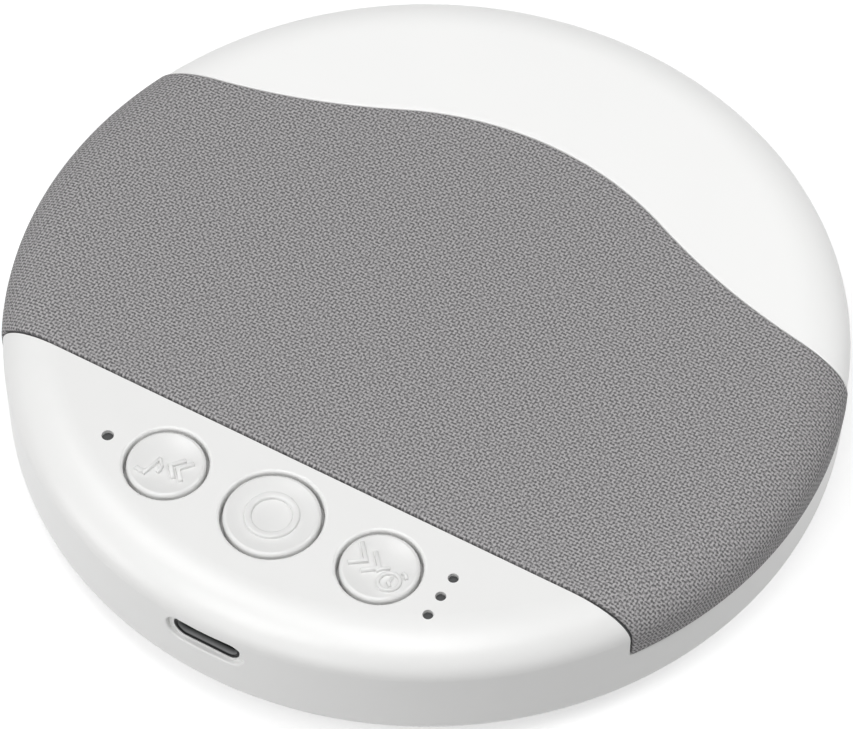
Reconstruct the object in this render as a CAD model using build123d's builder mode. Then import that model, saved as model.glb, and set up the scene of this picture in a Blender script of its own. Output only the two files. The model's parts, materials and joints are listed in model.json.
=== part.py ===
from build123d import *
import os
from math import asin, cos, degrees, radians, sin, sqrt

# White noise sound machine: a flat round puck with a control deck at the front,
# a cloth-covered speaker grille across the middle and a night light at the back.
# Millimetres. Origin on the floor under the centre, +Z up, control deck towards -Y.

# ---------------------------------------------------------------- driving sizes

# Turns about the axis at which screws, feet and windows repeat
corner_turns = (45, 135, 225, 315)
side_turns = (0, 90, 180, 270)
half_turn = 180

# Body form
body_radius = 52.5
body_height = 17.9
foot_stand = 1.2
top_round_reach = 6.7
top_round_drop = 4.3
base_round_reach = 9.3
base_round_rise = 4.7
wall = 2.0
seam_gap = 0.15
glue_line = 0.05
thread_play = 0.02
edge_round = 0.4

# How the top is shared out
deck_depth = 24.1
skirt_rise = 10.5
light_depth = 22.6
wave_crest_radius = 43.1
wave_turn = 25.9
wave_trough_radius = 90.2
cloth_thickness = 0.6
cloth_proud = 0.2

# Housing: locating lip, shelf, bosses
lip_thickness = 1.0
lip_rise = 1.5
lip_root = 2.0
shelf_reach = 2.2
shelf_root = 2.6
shelf_thickness = 1.5
shelf_inset = 1.0
case_screw_inset = 1.0
case_boss_radius = 2.8
case_boss_lift = 1.6
gusset_thickness = 1.6
tray_drop = 7.1
tray_lift = 0.3

# Buttons
button_inset = 15.9
button_pitch = 14.85
side_cap_radius = 4.83
middle_cap_radius = 5.9
button_gap = 0.39
button_travel = 0.35
button_proud = 0.05
button_dish = 0.5
button_lip = 0.5
cap_wall = 1.2
flange_reach = 1.1
flange_thickness = 0.8
flange_gap = 0.3
stem_radius = 1.6
collar_depth = 2.5
collar_gap = 0.35
collar_wall = 0.8
key_width = 1.2
key_height = 0.7
key_gap = 0.3

# Indicators
indicator_x = 23.15
indicator_pitch = 2.96
status_hole_radius = 0.75
timer_hole_radius = 0.66
pipe_gap = 0.06
pipe_recess = 0.5
pipe_shoulder_radius = 0.95
pipe_shoulder_height = 1.8

# Charging port
port_width = 10.6
port_height = 3.9
port_depth = 0.8
port_drop = 6.7
port_round = 0.25
usb_width = 8.94
usb_height = 3.26
usb_length = 7.35
usb_skin = 0.3
usb_tongue_width = 6.69
usb_tongue_thickness = 0.7
usb_tongue_length = 4.45
usb_gap = 0.1

# Main board
board_thickness = 1.2
board_gap = 1.6
board_setback = 1.9
board_boss_radius = 2.3
board_boss_inset = 2.6
board_boss_turns = (-43.7, -11.2, 11.2, 43.7)
switch_side = 6.0
switch_height = 3.0
switch_well_radius = 2.0
switch_well_depth = 1.9
plunger_radius = 1.7
plunger_rise = 3.9
travel_gap = 0.15
led_length = 1.6
led_width = 0.8
led_height = 0.8

# Packages under the board: centre x, distance in front of the buttons' row, length, width, height
packages = {
    "controller_chip": (-11.0, 1.9, 7.0, 7.0, 0.9),
    "amplifier_chip": (11.0, 1.9, 5.0, 4.0, 1.5),
    "charger_chip": (18.0, 4.9, 3.0, 3.0, 0.9),
    "power_inductor": (25.0, 1.9, 4.0, 4.0, 2.0),
}
package_chamfer = 0.2
capacitors_ahead = 3.4
capacitor_pitch = 3.2
capacitor_length = 2.0
capacitor_width = 1.25

# Connectors and leads
header_gap = 1.3
header_width = 5.5
header_length = 4.2
header_height = 3.2
header_inset = 0.4
header_skin = 0.4
plug_length = 4.8
plug_grip = 2.5
plug_gap = 0.1
wire_radius = 0.5
wire_pitch = 1.3
speaker_lead_bend = 2.0
battery_lead_gap = 1.9
battery_lead_bends = [2.5, 1.5]
lamp_lead_gap = 6.1
lamp_lead_start = 6.0
lamp_lead_slant = 14.0
lamp_lead_bends = [6.0, 10.0]
lamp_riser_bends = (2.4, 1.1)

# Speaker
speaker_radius = 20.0
flange_width = 2.6
basket_thickness = 1.2
basket_depth = 4.4
basket_floor_radius = 13.0
basket_floor = 0.8
basket_step = 0.35
basket_window_width = 9.0
ear_reach = 3.5
ear_radius = 2.6
yoke_radius = 9.7
yoke_wall = 1.5
yoke_height = 4.6
yoke_floor = 1.2
magnet_radius = 6.4
magnet_height = 2.2
pole_radius = 6.7
coil_radius = 7.1
former_thickness = 0.2
winding_thickness = 0.4
coil_floor_gap = 1.2
winding_height = 2.8
cone_thickness = 0.35
cone_depth = 2.1
cone_lip = 0.7
roll_radius = 1.3
surround_thickness = 0.3
cap_rise = 1.6
cap_lift = 0.12
spider_seat = 1.0
spider_thickness = 0.25
spider_ripple = 0.25
spider_folds = 8
gasket_thickness = 0.8
rim_drop = 1.8
hole_pitch = 4.6
hole_radius = 1.5
hole_rings = 3
holes_per_ring = 6
frame_boss_radius = 2.2
terminal_width = 8.0
terminal_length = 4.0
terminal_thickness = 1.0
terminal_overlap = 1.0
tab_pitch = 4.0
tab_size = 1.0

# Night light
tray_floor = 1.4
tray_wall = 2.4
tray_gap = 0.3
seal_thickness = 0.7
lamp_board_thickness = 1.0
lamp_board_inset = 4.4
lamp_board_gap = 4.0
lamp_count = 7
lamp_inset = 9.35
lamp_turn = 16.0
lamp_length = 3.5
lamp_width = 2.8
lamp_height = 0.8
stake_radius = 1.0
stake_turns = (-40.0, -8.0, 8.0, 40.0)
stake_offset = 2.0
stake_head = 0.8
stake_gap = 0.1

# Battery
cell_width = 18.0
cell_y = -0.8
cell_end_gap = 9.87
cell_inset = 1.3
cell_round = 1.0
tape_thickness = 0.5
tape_border = 2.0
strip_length = 2.4
strip_width = 16.0
strip_margin = 0.5
strip_lead_offset = 2.0

# Base cover and feet
base_margin = 0.6
base_gap = 0.25
base_thickness = 2.0
rib_radius = 15.0
rib_thickness = 1.2
rib_height = 1.2
post_radius = 3.6
foot_radius = 5.0
foot_inset = 4.6
foot_recess = 0.8
foot_gap = 0.1
clip_thickness = 1.4
clip_length = 3.0
clip_y = (0.0, 15.0)

# Screws
case_head_radius = 2.4
case_head_height = 1.6
case_thread_radius = 1.3
case_screw_spare = 0.6
small_head_radius = 1.8
small_head_height = 1.3
small_thread_radius = 1.0
board_screw_length = 5.0
speaker_screw_length = 4.4
head_round = 0.5
tip_chamfer = 0.4
cross_length = 2.2
cross_width = 0.6
cross_depth = 0.7
screw_hole_play = 0.2
screw_bed = 1.4
pilot_spare = 0.3

# ---------------------------------------------------------------- worked-out levels

deck_edge_y = deck_depth - body_radius
button_y = button_inset - body_radius
clear_span = 4 * body_radius
under_z = foot_stand
top_z = under_z + body_height
inner_top_z = top_z - wall
skirt_z = under_z + skirt_rise
floor_z = under_z + base_thickness
flat_radius = body_radius - top_round_reach
inner_radius = body_radius - wall
base_radius = body_radius - base_round_reach - base_margin
cell_x = base_radius - cell_inset - cell_width / 2
case_screw_circle = base_radius - post_radius - case_screw_inset
lead_hole_y = case_screw_circle * sin(radians(corner_turns[0]))
cell_length = 2 * (lead_hole_y - cell_end_gap)
lip_outer = inner_radius - seam_gap
lip_inner = lip_outer - lip_thickness

crest_centre_y = body_radius - light_depth - wave_crest_radius
trough_x = (wave_crest_radius + wave_trough_radius) * sin(radians(wave_turn))
trough_y = crest_centre_y + (wave_crest_radius + wave_trough_radius) * cos(radians(wave_turn))

port_z = top_z - port_drop
port_face_y = -(body_radius - port_depth)
port_mouth_y = port_face_y - port_depth / 2
board_top_z = port_z - usb_height / 2
board_under_z = board_top_z - board_thickness
board_radius = inner_radius - board_gap
board_rear_y = deck_edge_y - board_setback
plunger_tip_z = board_top_z + plunger_rise
flange_top_z = inner_top_z - flange_gap
flange_under_z = flange_top_z - flange_thickness
rim_z = top_z + button_proud
dish_z = rim_z - button_dish

case_boss_z = floor_z + case_boss_lift
case_screw_seat_z = case_boss_z - screw_bed
tray_seat_z = inner_top_z - tray_drop
case_screw_length = tray_seat_z - case_screw_seat_z - case_screw_spare
cell_bottom_z = floor_z + tape_thickness
cell_height = tray_seat_z - tray_lift - cell_bottom_z
strip_height = cell_height - 2 * strip_margin
tray_top_z = tray_seat_z + tray_floor
lamp_board_top_z = tray_top_z + lamp_board_thickness
seal_under_z = inner_top_z - seal_thickness

gasket_top_z = inner_top_z - rim_drop
surround_top_z = gasket_top_z - gasket_thickness
speaker_z = surround_top_z - surround_thickness
flange_bottom_z = speaker_z - basket_thickness
basket_bottom_z = speaker_z - basket_depth
basket_floor_z = basket_bottom_z + basket_floor
yoke_inner = yoke_radius - yoke_wall
yoke_bottom_z = basket_bottom_z - yoke_height
yoke_floor_z = yoke_bottom_z + yoke_floor
former_bottom_z = yoke_floor_z + coil_floor_gap
former_radius = coil_radius + former_thickness
neck_z = speaker_z - cone_depth
ear_circle = speaker_radius + ear_reach
roll_centre = speaker_radius - flange_width - roll_radius
cone_radius = roll_centre - roll_radius
lip_radius = cone_radius - cone_lip

buttons = {
    "left": (-button_pitch, side_cap_radius),
    "middle": (0.0, middle_cap_radius),
    "right": (button_pitch, side_cap_radius),
}
board_boss_circle = board_radius - board_boss_inset
board_bosses = [
    (board_boss_circle * sin(radians(turn)), -board_boss_circle * cos(radians(turn)))
    for turn in board_boss_turns
]
timer_places = [(indicator_x, button_y + step * indicator_pitch) for step in (-1, 0, 1)]
indicator_places = [(-indicator_x, button_y)] + timer_places


# ---------------------------------------------------------------- shared forms


def body_form(inset):
    """Solid of the body's outer form, drawn in by inset on every side."""
    reach, drop = top_round_reach - inset, top_round_drop - inset
    foot_reach, rise = base_round_reach - inset, base_round_rise - inset
    with BuildPart() as form:
        with BuildSketch(Plane.XZ):
            with BuildLine():
                foot = EllipticalCenterArc(
                    (body_radius - base_round_reach, under_z + base_round_rise), foot_reach, rise, 270
                )
                crown = EllipticalCenterArc((flat_radius, top_z - top_round_drop), reach, drop, 0)
                Line(foot @ 1, crown @ 0)
                Polyline(crown @ 1, (0, top_z - inset), (0, under_z + inset), foot @ 0)
            make_face()
        revolve(axis=Axis.Z)
    return form.part


def wave_line(shift):
    """Edge between grille and night light: a crest between two troughs, set back by shift."""
    with BuildLine() as line:
        CenterArc((-trough_x, trough_y), wave_trough_radius - shift, 270, wave_turn)
        CenterArc((0, crest_centre_y), wave_crest_radius + shift, 90 - wave_turn, 2 * wave_turn)
        CenterArc((trough_x, trough_y), wave_trough_radius - shift, 270 - wave_turn, wave_turn)
    return line.line


def plan_zone(shift, far_y):
    """Plan face between the wave edge, set back by shift, and the straight line at far_y."""
    end_y = trough_y - wave_trough_radius + shift
    side_x = trough_x + body_radius
    with BuildSketch() as zone:
        with BuildLine():
            add(wave_line(shift))
            Polyline(
                (-trough_x, end_y),
                (-side_x, end_y),
                (-side_x, far_y),
                (side_x, far_y),
                (side_x, end_y),
                (trough_x, end_y),
            )
        make_face()
    return zone.sketch


def screw_form(head_radius, head_height, thread_radius, length):
    """Pan head screw with its seat at the origin, thread up and head down."""
    with BuildPart() as form:
        Cylinder(thread_radius, length, align=(Align.CENTER, Align.CENTER, Align.MIN))
        chamfer(form.edges().sort_by(Axis.Z)[-1], tip_chamfer)
        Cylinder(head_radius, head_height, align=(Align.CENTER, Align.CENTER, Align.MAX))
        fillet(form.edges().sort_by(Axis.Z)[0], head_round)
        with BuildSketch(Plane.XY.offset(-head_height)):
            Rectangle(cross_length, cross_width)
            Rectangle(cross_width, cross_length)
        extrude(amount=cross_depth, mode=Mode.SUBTRACT)
    return form.part


def wire_form(route, bends):
    """Round insulated wire along straight runs joined by arcs."""
    with BuildPart() as form:
        with BuildLine() as path:
            FilletPolyline(*route, radius=bends)
        with BuildSketch(Plane(origin=path.line @ 0, z_dir=path.line % 0)):
            Circle(wire_radius)
        sweep(path=path.line)
    return form.part


def finish(shape, name):
    """Label a piece and write its file."""
    shape.label = name
    export_step(shape, f"parts/{name}.step")


os.makedirs("parts", exist_ok=True)

# ---------------------------------------------------------------- housing

case_screw_places = [
    (case_screw_circle * cos(radians(turn)), case_screw_circle * sin(radians(turn))) for turn in corner_turns
]
front_screw_places = [place for place in case_screw_places if place[1] < 0]
rear_screw_places = [place for place in case_screw_places if place[1] > 0]
shelf_half = sqrt(flat_radius**2 - deck_edge_y**2) - shelf_inset

with BuildPart() as housing_shell:
    add(body_form(0))
    add(body_form(wall), mode=Mode.SUBTRACT)
    # window over the grille and the night light
    with BuildSketch(Plane.XY.offset(skirt_z)):
        with Locations((0, deck_edge_y)):
            Rectangle(clear_span, clear_span, align=(Align.CENTER, Align.MIN))
    extrude(amount=body_height, mode=Mode.SUBTRACT)
    # round opening for the base cover
    with BuildSketch(Plane.XY.offset(under_z)):
        Circle(base_radius + base_gap)
    extrude(amount=base_round_rise, mode=Mode.SUBTRACT)
    # lip inside the rim that locates the frame and the light cover
    with BuildSketch(Plane.XY.offset(skirt_z - lip_root)):
        Circle(inner_radius + seam_gap)
        Circle(lip_inner, mode=Mode.SUBTRACT)
        with Locations((0, deck_edge_y)):
            Rectangle(clear_span, clear_span, align=(Align.CENTER, Align.MAX), mode=Mode.SUBTRACT)
    extrude(amount=lip_root)
    with BuildSketch(Plane.XY.offset(skirt_z)):
        Circle(lip_outer)
        Circle(lip_inner, mode=Mode.SUBTRACT)
        with Locations((0, deck_edge_y)):
            Rectangle(clear_span, clear_span, align=(Align.CENTER, Align.MAX), mode=Mode.SUBTRACT)
    extrude(amount=lip_rise)
    # shelf along the deck's rear edge that carries the frame
    with BuildSketch(Plane.XY.offset(inner_top_z)):
        with Locations((0, deck_edge_y + shelf_reach)):
            Rectangle(2 * shelf_half, shelf_reach + shelf_root, align=(Align.CENTER, Align.MAX))
    extrude(amount=-shelf_thickness)
    # button collars, each with an anti-turn key
    with BuildSketch(Plane.XY.offset(inner_top_z)):
        for button_x, cap_radius in buttons.values():
            with Locations((button_x, button_y)):
                Circle(cap_radius + flange_reach + collar_gap + collar_wall)
    extrude(amount=-collar_depth)
    with BuildSketch(Plane.XY.offset(inner_top_z)):
        for button_x, cap_radius in buttons.values():
            with Locations((button_x, button_y)):
                Circle(cap_radius + flange_reach + collar_gap)
    extrude(amount=-collar_depth, mode=Mode.SUBTRACT)
    with BuildSketch(Plane.XY.offset(inner_top_z)):
        for button_x, cap_radius in buttons.values():
            collar_inner = cap_radius + flange_reach + collar_gap
            with Locations((button_x, button_y - collar_inner - collar_wall / 2)):
                Rectangle(key_width, key_height + collar_wall / 2, align=(Align.CENTER, Align.MIN))
    extrude(amount=-collar_depth)
    # button and indicator holes through the deck
    with BuildSketch(Plane.XY.offset(top_z)):
        for button_x, cap_radius in buttons.values():
            with Locations((button_x, button_y)):
                Circle(cap_radius + button_gap)
    extrude(amount=-wall, mode=Mode.SUBTRACT)
    fillet(housing_shell.faces().sort_by(Axis.Z)[-1].inner_wires().edges(), edge_round)
    with BuildSketch(Plane.XY.offset(top_z)):
        with Locations((-indicator_x, button_y)):
            Circle(status_hole_radius)
        with Locations(*timer_places):
            Circle(timer_hole_radius)
    extrude(amount=-(wall + seam_gap), mode=Mode.SUBTRACT)
    # charging port: plug recess, then the slot for the socket's shell
    with BuildSketch(Plane.XZ.offset(body_radius - port_depth)):
        with Locations((0, port_z)):
            SlotOverall(port_width, port_height)
    extrude(amount=port_depth, mode=Mode.SUBTRACT)
    mouth = housing_shell.edges(Select.LAST).filter_by(
        lambda edge: max((edge @ 0).Y, (edge @ 1).Y) < port_mouth_y
    )
    fillet(mouth, port_round)
    with BuildSketch(Plane.XZ.offset(body_radius - port_depth)):
        with Locations((0, port_z)):
            SlotOverall(usb_width + 2 * usb_gap, usb_height + 2 * usb_gap)
    extrude(amount=-wall, mode=Mode.SUBTRACT)
    # bosses for the board under the deck
    with BuildSketch(Plane.XY.offset(board_top_z)):
        with Locations(*board_bosses):
            Circle(board_boss_radius)
    extrude(amount=inner_top_z - board_top_z)
    with BuildSketch(Plane.XY.offset(board_top_z)):
        with Locations(*board_bosses):
            Circle(small_thread_radius + thread_play)
    extrude(amount=board_screw_length - board_thickness + pilot_spare, mode=Mode.SUBTRACT)
    # bosses for the base cover: the front pair carry the frame, the rear pair the light tray
    with BuildSketch(Plane.XY.offset(case_boss_z)):
        with Locations(*front_screw_places):
            Circle(case_boss_radius)
    extrude(amount=inner_top_z - case_boss_z)
    with BuildSketch(Plane.XY.offset(case_boss_z)):
        with Locations(*rear_screw_places):
            Circle(case_boss_radius)
        with PolarLocations(0, 2, start_angle=corner_turns[0], angular_range=side_turns[1], endpoint=True):
            with Locations((case_screw_circle, 0)):
                Rectangle(
                    inner_radius + seam_gap - case_screw_circle,
                    gusset_thickness,
                    align=(Align.MIN, Align.CENTER),
                )
    extrude(amount=tray_seat_z - case_boss_z)
    with BuildSketch(Plane.XY.offset(case_boss_z)):
        with Locations(*case_screw_places):
            Circle(case_thread_radius + thread_play)
    extrude(amount=tray_seat_z - case_boss_z, mode=Mode.SUBTRACT)
finish(housing_shell.part, "housing_shell")

# ---------------------------------------------------------------- base cover, feet and screws

foot_circle = base_radius - foot_radius - foot_inset
foot_places = [
    (foot_circle * cos(radians(turn)), foot_circle * sin(radians(turn))) for turn in side_turns
]
lamp_lead_x = -lead_hole_y - lamp_lead_gap
lead_z = board_under_z - header_height / 2
low_wire_z = lead_z - wire_pitch / 2
high_wire_z = lead_z + wire_pitch / 2
clip_top_z = high_wire_z + wire_radius

with BuildPart() as base_cover:
    with BuildSketch(Plane.XY.offset(under_z)):
        Circle(base_radius)
    extrude(amount=base_thickness)
    with BuildSketch(Plane.XY.offset(floor_z)):
        Circle(rib_radius + rib_thickness)
        Circle(rib_radius, mode=Mode.SUBTRACT)
    extrude(amount=rib_height)
    with BuildSketch(Plane.XY.offset(floor_z)):
        with Locations(*case_screw_places):
            Circle(post_radius)
    extrude(amount=case_boss_lift)
    # seat of each screw head, sunk from below
    with Locations(*[(x, y, case_screw_seat_z) for x, y in case_screw_places]):
        Cylinder(
            case_head_radius + screw_hole_play,
            body_height,
            align=(Align.CENTER, Align.CENTER, Align.MAX),
            mode=Mode.SUBTRACT,
        )
        Cylinder(case_thread_radius + screw_hole_play, body_height, mode=Mode.SUBTRACT)
    with BuildSketch(Plane.XY.offset(under_z)):
        with Locations(*foot_places):
            Circle(foot_radius + foot_gap)
    extrude(amount=foot_recess, mode=Mode.SUBTRACT)
    # forked posts that hold the lamp lead
    with BuildSketch(Plane.XY.offset(floor_z)):
        with Locations(*[(lamp_lead_x, y) for y in clip_y]):
            Rectangle(2 * (wire_radius + foot_gap + clip_thickness), clip_length)
    extrude(amount=clip_top_z - floor_z)
    with BuildSketch(Plane.XY.offset(low_wire_z - wire_radius - foot_gap)):
        with Locations(*[(lamp_lead_x, y) for y in clip_y]):
            Rectangle(2 * (wire_radius + foot_gap), 2 * clip_length)
    extrude(amount=body_height, mode=Mode.SUBTRACT)
finish(base_cover.part, "base_cover")

with BuildPart() as rubber_feet:
    with BuildSketch():
        with Locations(*foot_places):
            Circle(foot_radius)
    extrude(amount=under_z + foot_recess)
    fillet(rubber_feet.edges().group_by(Axis.Z)[0], edge_round)
finish(rubber_feet.part, "rubber_feet")

with BuildPart() as case_screws:
    with Locations(*[(x, y, case_screw_seat_z) for x, y in case_screw_places]):
        add(screw_form(case_head_radius, case_head_height, case_thread_radius, case_screw_length))
finish(case_screws.part, "case_screws")

# ---------------------------------------------------------------- grille frame and cloth

grille_zone = plan_zone(-seam_gap, deck_edge_y + seam_gap)

with BuildPart() as grille_frame:
    add(body_form(cloth_thickness - cloth_proud + glue_line))
    add(body_form(wall), mode=Mode.SUBTRACT)
    with BuildSketch(Plane.XY.offset(skirt_z)):
        add(grille_zone)
    extrude(amount=body_height, mode=Mode.INTERSECT)
    # sound holes in rings over the cone, each ring six holes longer than the last
    with BuildSketch(Plane.XY.offset(inner_top_z)):
        Circle(hole_radius)
        for ring in range(1, hole_rings + 1):
            with PolarLocations(ring * hole_pitch, ring * holes_per_ring):
                Circle(hole_radius)
    extrude(amount=wall, mode=Mode.SUBTRACT)
    # rim that presses the gasket and bosses for the speaker's ears
    with BuildSketch(Plane.XY.offset(inner_top_z)):
        Circle(speaker_radius)
        Circle(speaker_radius - flange_width + surround_thickness + seam_gap, mode=Mode.SUBTRACT)
    extrude(amount=-rim_drop)
    with BuildSketch(Plane.XY.offset(speaker_z)):
        with PolarLocations(ear_circle, len(corner_turns), start_angle=corner_turns[0]):
            Circle(frame_boss_radius)
    extrude(amount=inner_top_z - speaker_z)
    with BuildSketch(Plane.XY.offset(speaker_z)):
        with PolarLocations(ear_circle, len(corner_turns), start_angle=corner_turns[0]):
            Circle(small_thread_radius + thread_play)
    extrude(amount=speaker_screw_length - basket_thickness + pilot_spare, mode=Mode.SUBTRACT)
finish(grille_frame.part, "grille_frame")

with BuildPart() as grille_cloth:
    add(body_form(-cloth_proud))
    add(body_form(cloth_thickness - cloth_proud), mode=Mode.SUBTRACT)
    with BuildSketch(Plane.XY.offset(skirt_z + seam_gap)):
        add(grille_zone)
    extrude(amount=body_height, mode=Mode.INTERSECT)
finish(grille_cloth.part, "grille_cloth")

# ---------------------------------------------------------------- night light

light_zone = plan_zone(seam_gap, 2 * body_radius)

with BuildPart() as light_cover:
    add(body_form(0))
    add(body_form(wall), mode=Mode.SUBTRACT)
    with BuildSketch(Plane.XY.offset(skirt_z)):
        add(light_zone)
    extrude(amount=body_height, mode=Mode.INTERSECT)
finish(light_cover.part, "light_cover")

lamp_circle = lip_inner - lamp_inset
stake_circle = lamp_circle + stake_offset
stake_places = [
    (stake_circle * sin(radians(turn)), stake_circle * cos(radians(turn)))
    for turn in stake_turns
]

with BuildPart() as light_tray:
    with BuildSketch(Plane.XY.offset(tray_seat_z)):
        add(plan_zone(-tray_wall / 2, 2 * body_radius))
        Circle(lip_inner - tray_gap, mode=Mode.INTERSECT)
    extrude(amount=tray_floor)
    # wall under the wave edge that carries the frame and the cover and keeps the light in
    with BuildSketch(Plane.XY.offset(tray_top_z)):
        add(plan_zone(-tray_wall / 2, 2 * body_radius))
        add(plan_zone(tray_wall / 2, 2 * body_radius), mode=Mode.SUBTRACT)
        Circle(flat_radius, mode=Mode.INTERSECT)
    extrude(amount=seal_under_z - tray_top_z)
    # stakes that hold the lamp board
    with BuildSketch(Plane.XY.offset(tray_top_z)):
        with Locations(*stake_places):
            Circle(stake_radius)
    extrude(amount=lamp_board_thickness + stake_head)
    with BuildSketch(Plane.XY.offset(tray_seat_z)):
        with Locations((lamp_lead_x, lead_hole_y)):
            Circle(wire_pitch + wire_radius)
    extrude(amount=tray_floor, mode=Mode.SUBTRACT)
finish(light_tray.part, "light_tray")

with BuildPart() as light_seal:
    with BuildSketch(Plane.XY.offset(seal_under_z)):
        add(plan_zone(-tray_wall / 2, 2 * body_radius))
        add(plan_zone(tray_wall / 2, 2 * body_radius), mode=Mode.SUBTRACT)
        Circle(flat_radius, mode=Mode.INTERSECT)
    extrude(amount=seal_thickness)
finish(light_seal.part, "light_seal")

with BuildPart() as lamp_board:
    with BuildSketch(Plane.XY.offset(tray_top_z)):
        add(plan_zone(lamp_board_gap, 2 * body_radius))
        Circle(lip_inner - lamp_board_inset, mode=Mode.INTERSECT)
        with Locations(*stake_places):
            Circle(stake_radius + stake_gap, mode=Mode.SUBTRACT)
    extrude(amount=lamp_board_thickness)
finish(lamp_board.part, "lamp_board")

lamp_span = (lamp_count - 1) * lamp_turn
with BuildPart() as night_lamps:
    with BuildSketch(Plane.XY.offset(lamp_board_top_z)):
        with PolarLocations(
            lamp_circle, lamp_count, start_angle=90 - lamp_span / 2, angular_range=lamp_span, endpoint=True
        ):
            RectangleRounded(lamp_width, lamp_length, edge_round)
    extrude(amount=lamp_height)
finish(night_lamps.part, "night_lamps")

# ---------------------------------------------------------------- speaker

basket_slope_r = speaker_radius - flange_width + surround_thickness
spider_seat_r = basket_floor_radius - spider_seat
spider_z = basket_floor_z + basket_step

with BuildPart() as speaker_basket:
    with BuildSketch(Plane.XZ):
        with BuildLine():
            Polyline(
                (yoke_inner, basket_bottom_z),
                (basket_floor_radius, basket_bottom_z),
                (basket_slope_r, flange_bottom_z),
                (speaker_radius, flange_bottom_z),
                (speaker_radius, speaker_z),
                (basket_slope_r - surround_thickness, speaker_z),
                (basket_floor_radius, spider_z),
                (spider_seat_r, spider_z),
                (spider_seat_r, basket_floor_z),
                (yoke_inner, basket_floor_z),
                close=True,
            )
        make_face()
    revolve(axis=Axis.Z)
    with BuildSketch(Plane.XY.offset(flange_bottom_z)):
        with PolarLocations(ear_circle, len(corner_turns), start_angle=corner_turns[0]):
            Circle(ear_radius)
        with PolarLocations(0, len(corner_turns), start_angle=corner_turns[0]):
            with Locations((basket_slope_r, 0)):
                Rectangle(
                    ear_circle - basket_slope_r, 2 * ear_radius, align=(Align.MIN, Align.CENTER)
                )
    extrude(amount=basket_thickness)
    with BuildSketch(Plane.XY.offset(flange_bottom_z)):
        with PolarLocations(ear_circle, len(corner_turns), start_angle=corner_turns[0]):
            Circle(small_thread_radius + screw_hole_play)
    extrude(amount=basket_thickness, mode=Mode.SUBTRACT)
    # four windows in the sloping wall
    with BuildSketch(Plane.XY.offset(basket_bottom_z)):
        with PolarLocations(0, len(side_turns)):
            with Locations((basket_floor_radius + basket_step, 0)):
                Rectangle(
                    basket_slope_r - basket_floor_radius - 2 * basket_step,
                    basket_window_width,
                    align=(Align.MIN, Align.CENTER),
                )
    extrude(amount=flange_bottom_z - basket_bottom_z, mode=Mode.SUBTRACT)
finish(speaker_basket.part, "speaker_basket")

with BuildPart() as speaker_yoke:
    with Locations((0, 0, yoke_bottom_z)):
        Cylinder(yoke_radius, yoke_height, align=(Align.CENTER, Align.CENTER, Align.MIN))
    chamfer(speaker_yoke.edges().group_by(Axis.Z)[0], edge_round)
    with Locations((0, 0, yoke_floor_z)):
        Cylinder(
            yoke_inner, yoke_height, align=(Align.CENTER, Align.CENTER, Align.MIN), mode=Mode.SUBTRACT
        )
finish(speaker_yoke.part, "speaker_yoke")

with BuildPart() as speaker_magnet:
    with Locations((0, 0, yoke_floor_z)):
        Cylinder(magnet_radius, magnet_height, align=(Align.CENTER, Align.CENTER, Align.MIN))
finish(speaker_magnet.part, "speaker_magnet")

with BuildPart() as speaker_pole:
    with Locations((0, 0, yoke_floor_z + magnet_height)):
        Cylinder(
            pole_radius,
            basket_bottom_z - yoke_floor_z - magnet_height,
            align=(Align.CENTER, Align.CENTER, Align.MIN),
        )
finish(speaker_pole.part, "speaker_pole")

with BuildPart() as voice_coil:
    with BuildSketch(Plane.XY.offset(former_bottom_z)):
        Circle(former_radius)
        Circle(coil_radius, mode=Mode.SUBTRACT)
    extrude(amount=neck_z - former_bottom_z)
    with BuildSketch(Plane.XY.offset(former_bottom_z)):
        Circle(former_radius + winding_thickness)
        Circle(former_radius, mode=Mode.SUBTRACT)
    extrude(amount=winding_height)
finish(voice_coil.part, "voice_coil")

neck_radius = former_radius + thread_play
with BuildPart() as speaker_cone:
    with BuildSketch(Plane.XZ):
        with BuildLine():
            lower = ThreePointArc(
                (neck_radius, neck_z - cone_thickness),
                ((neck_radius + cone_radius) / 2, neck_z + cone_depth / 2 - 2 * cone_thickness),
                (lip_radius, speaker_z - cone_thickness),
            )
            upper = ThreePointArc(
                (neck_radius, neck_z),
                ((neck_radius + cone_radius) / 2, neck_z + cone_depth / 2 - cone_thickness),
                (lip_radius, speaker_z),
            )
            Polyline(
                lower @ 1,
                (cone_radius, speaker_z - cone_thickness),
                (cone_radius, speaker_z),
                upper @ 1,
            )
            Line(lower @ 0, upper @ 0)
        make_face()
    revolve(axis=Axis.Z)
finish(speaker_cone.part, "speaker_cone")

cap_radius = former_radius + cone_lip
cap_z = neck_z + cap_lift
cap_top_z = cap_z + cap_rise
with BuildPart() as speaker_dust_cap:
    with BuildSketch(Plane.XZ):
        with BuildLine():
            dome = TangentArc((0, cap_top_z), (cap_radius, cap_z), tangent=(1, 0))
            inside = TangentArc(
                (0, cap_top_z - surround_thickness), (cap_radius - surround_thickness, cap_z), tangent=(1, 0)
            )
            Line(dome @ 1, inside @ 1)
            Line(dome @ 0, inside @ 0)
        make_face()
    revolve(axis=Axis.Z)
finish(speaker_dust_cap.part, "speaker_dust_cap")

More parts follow.
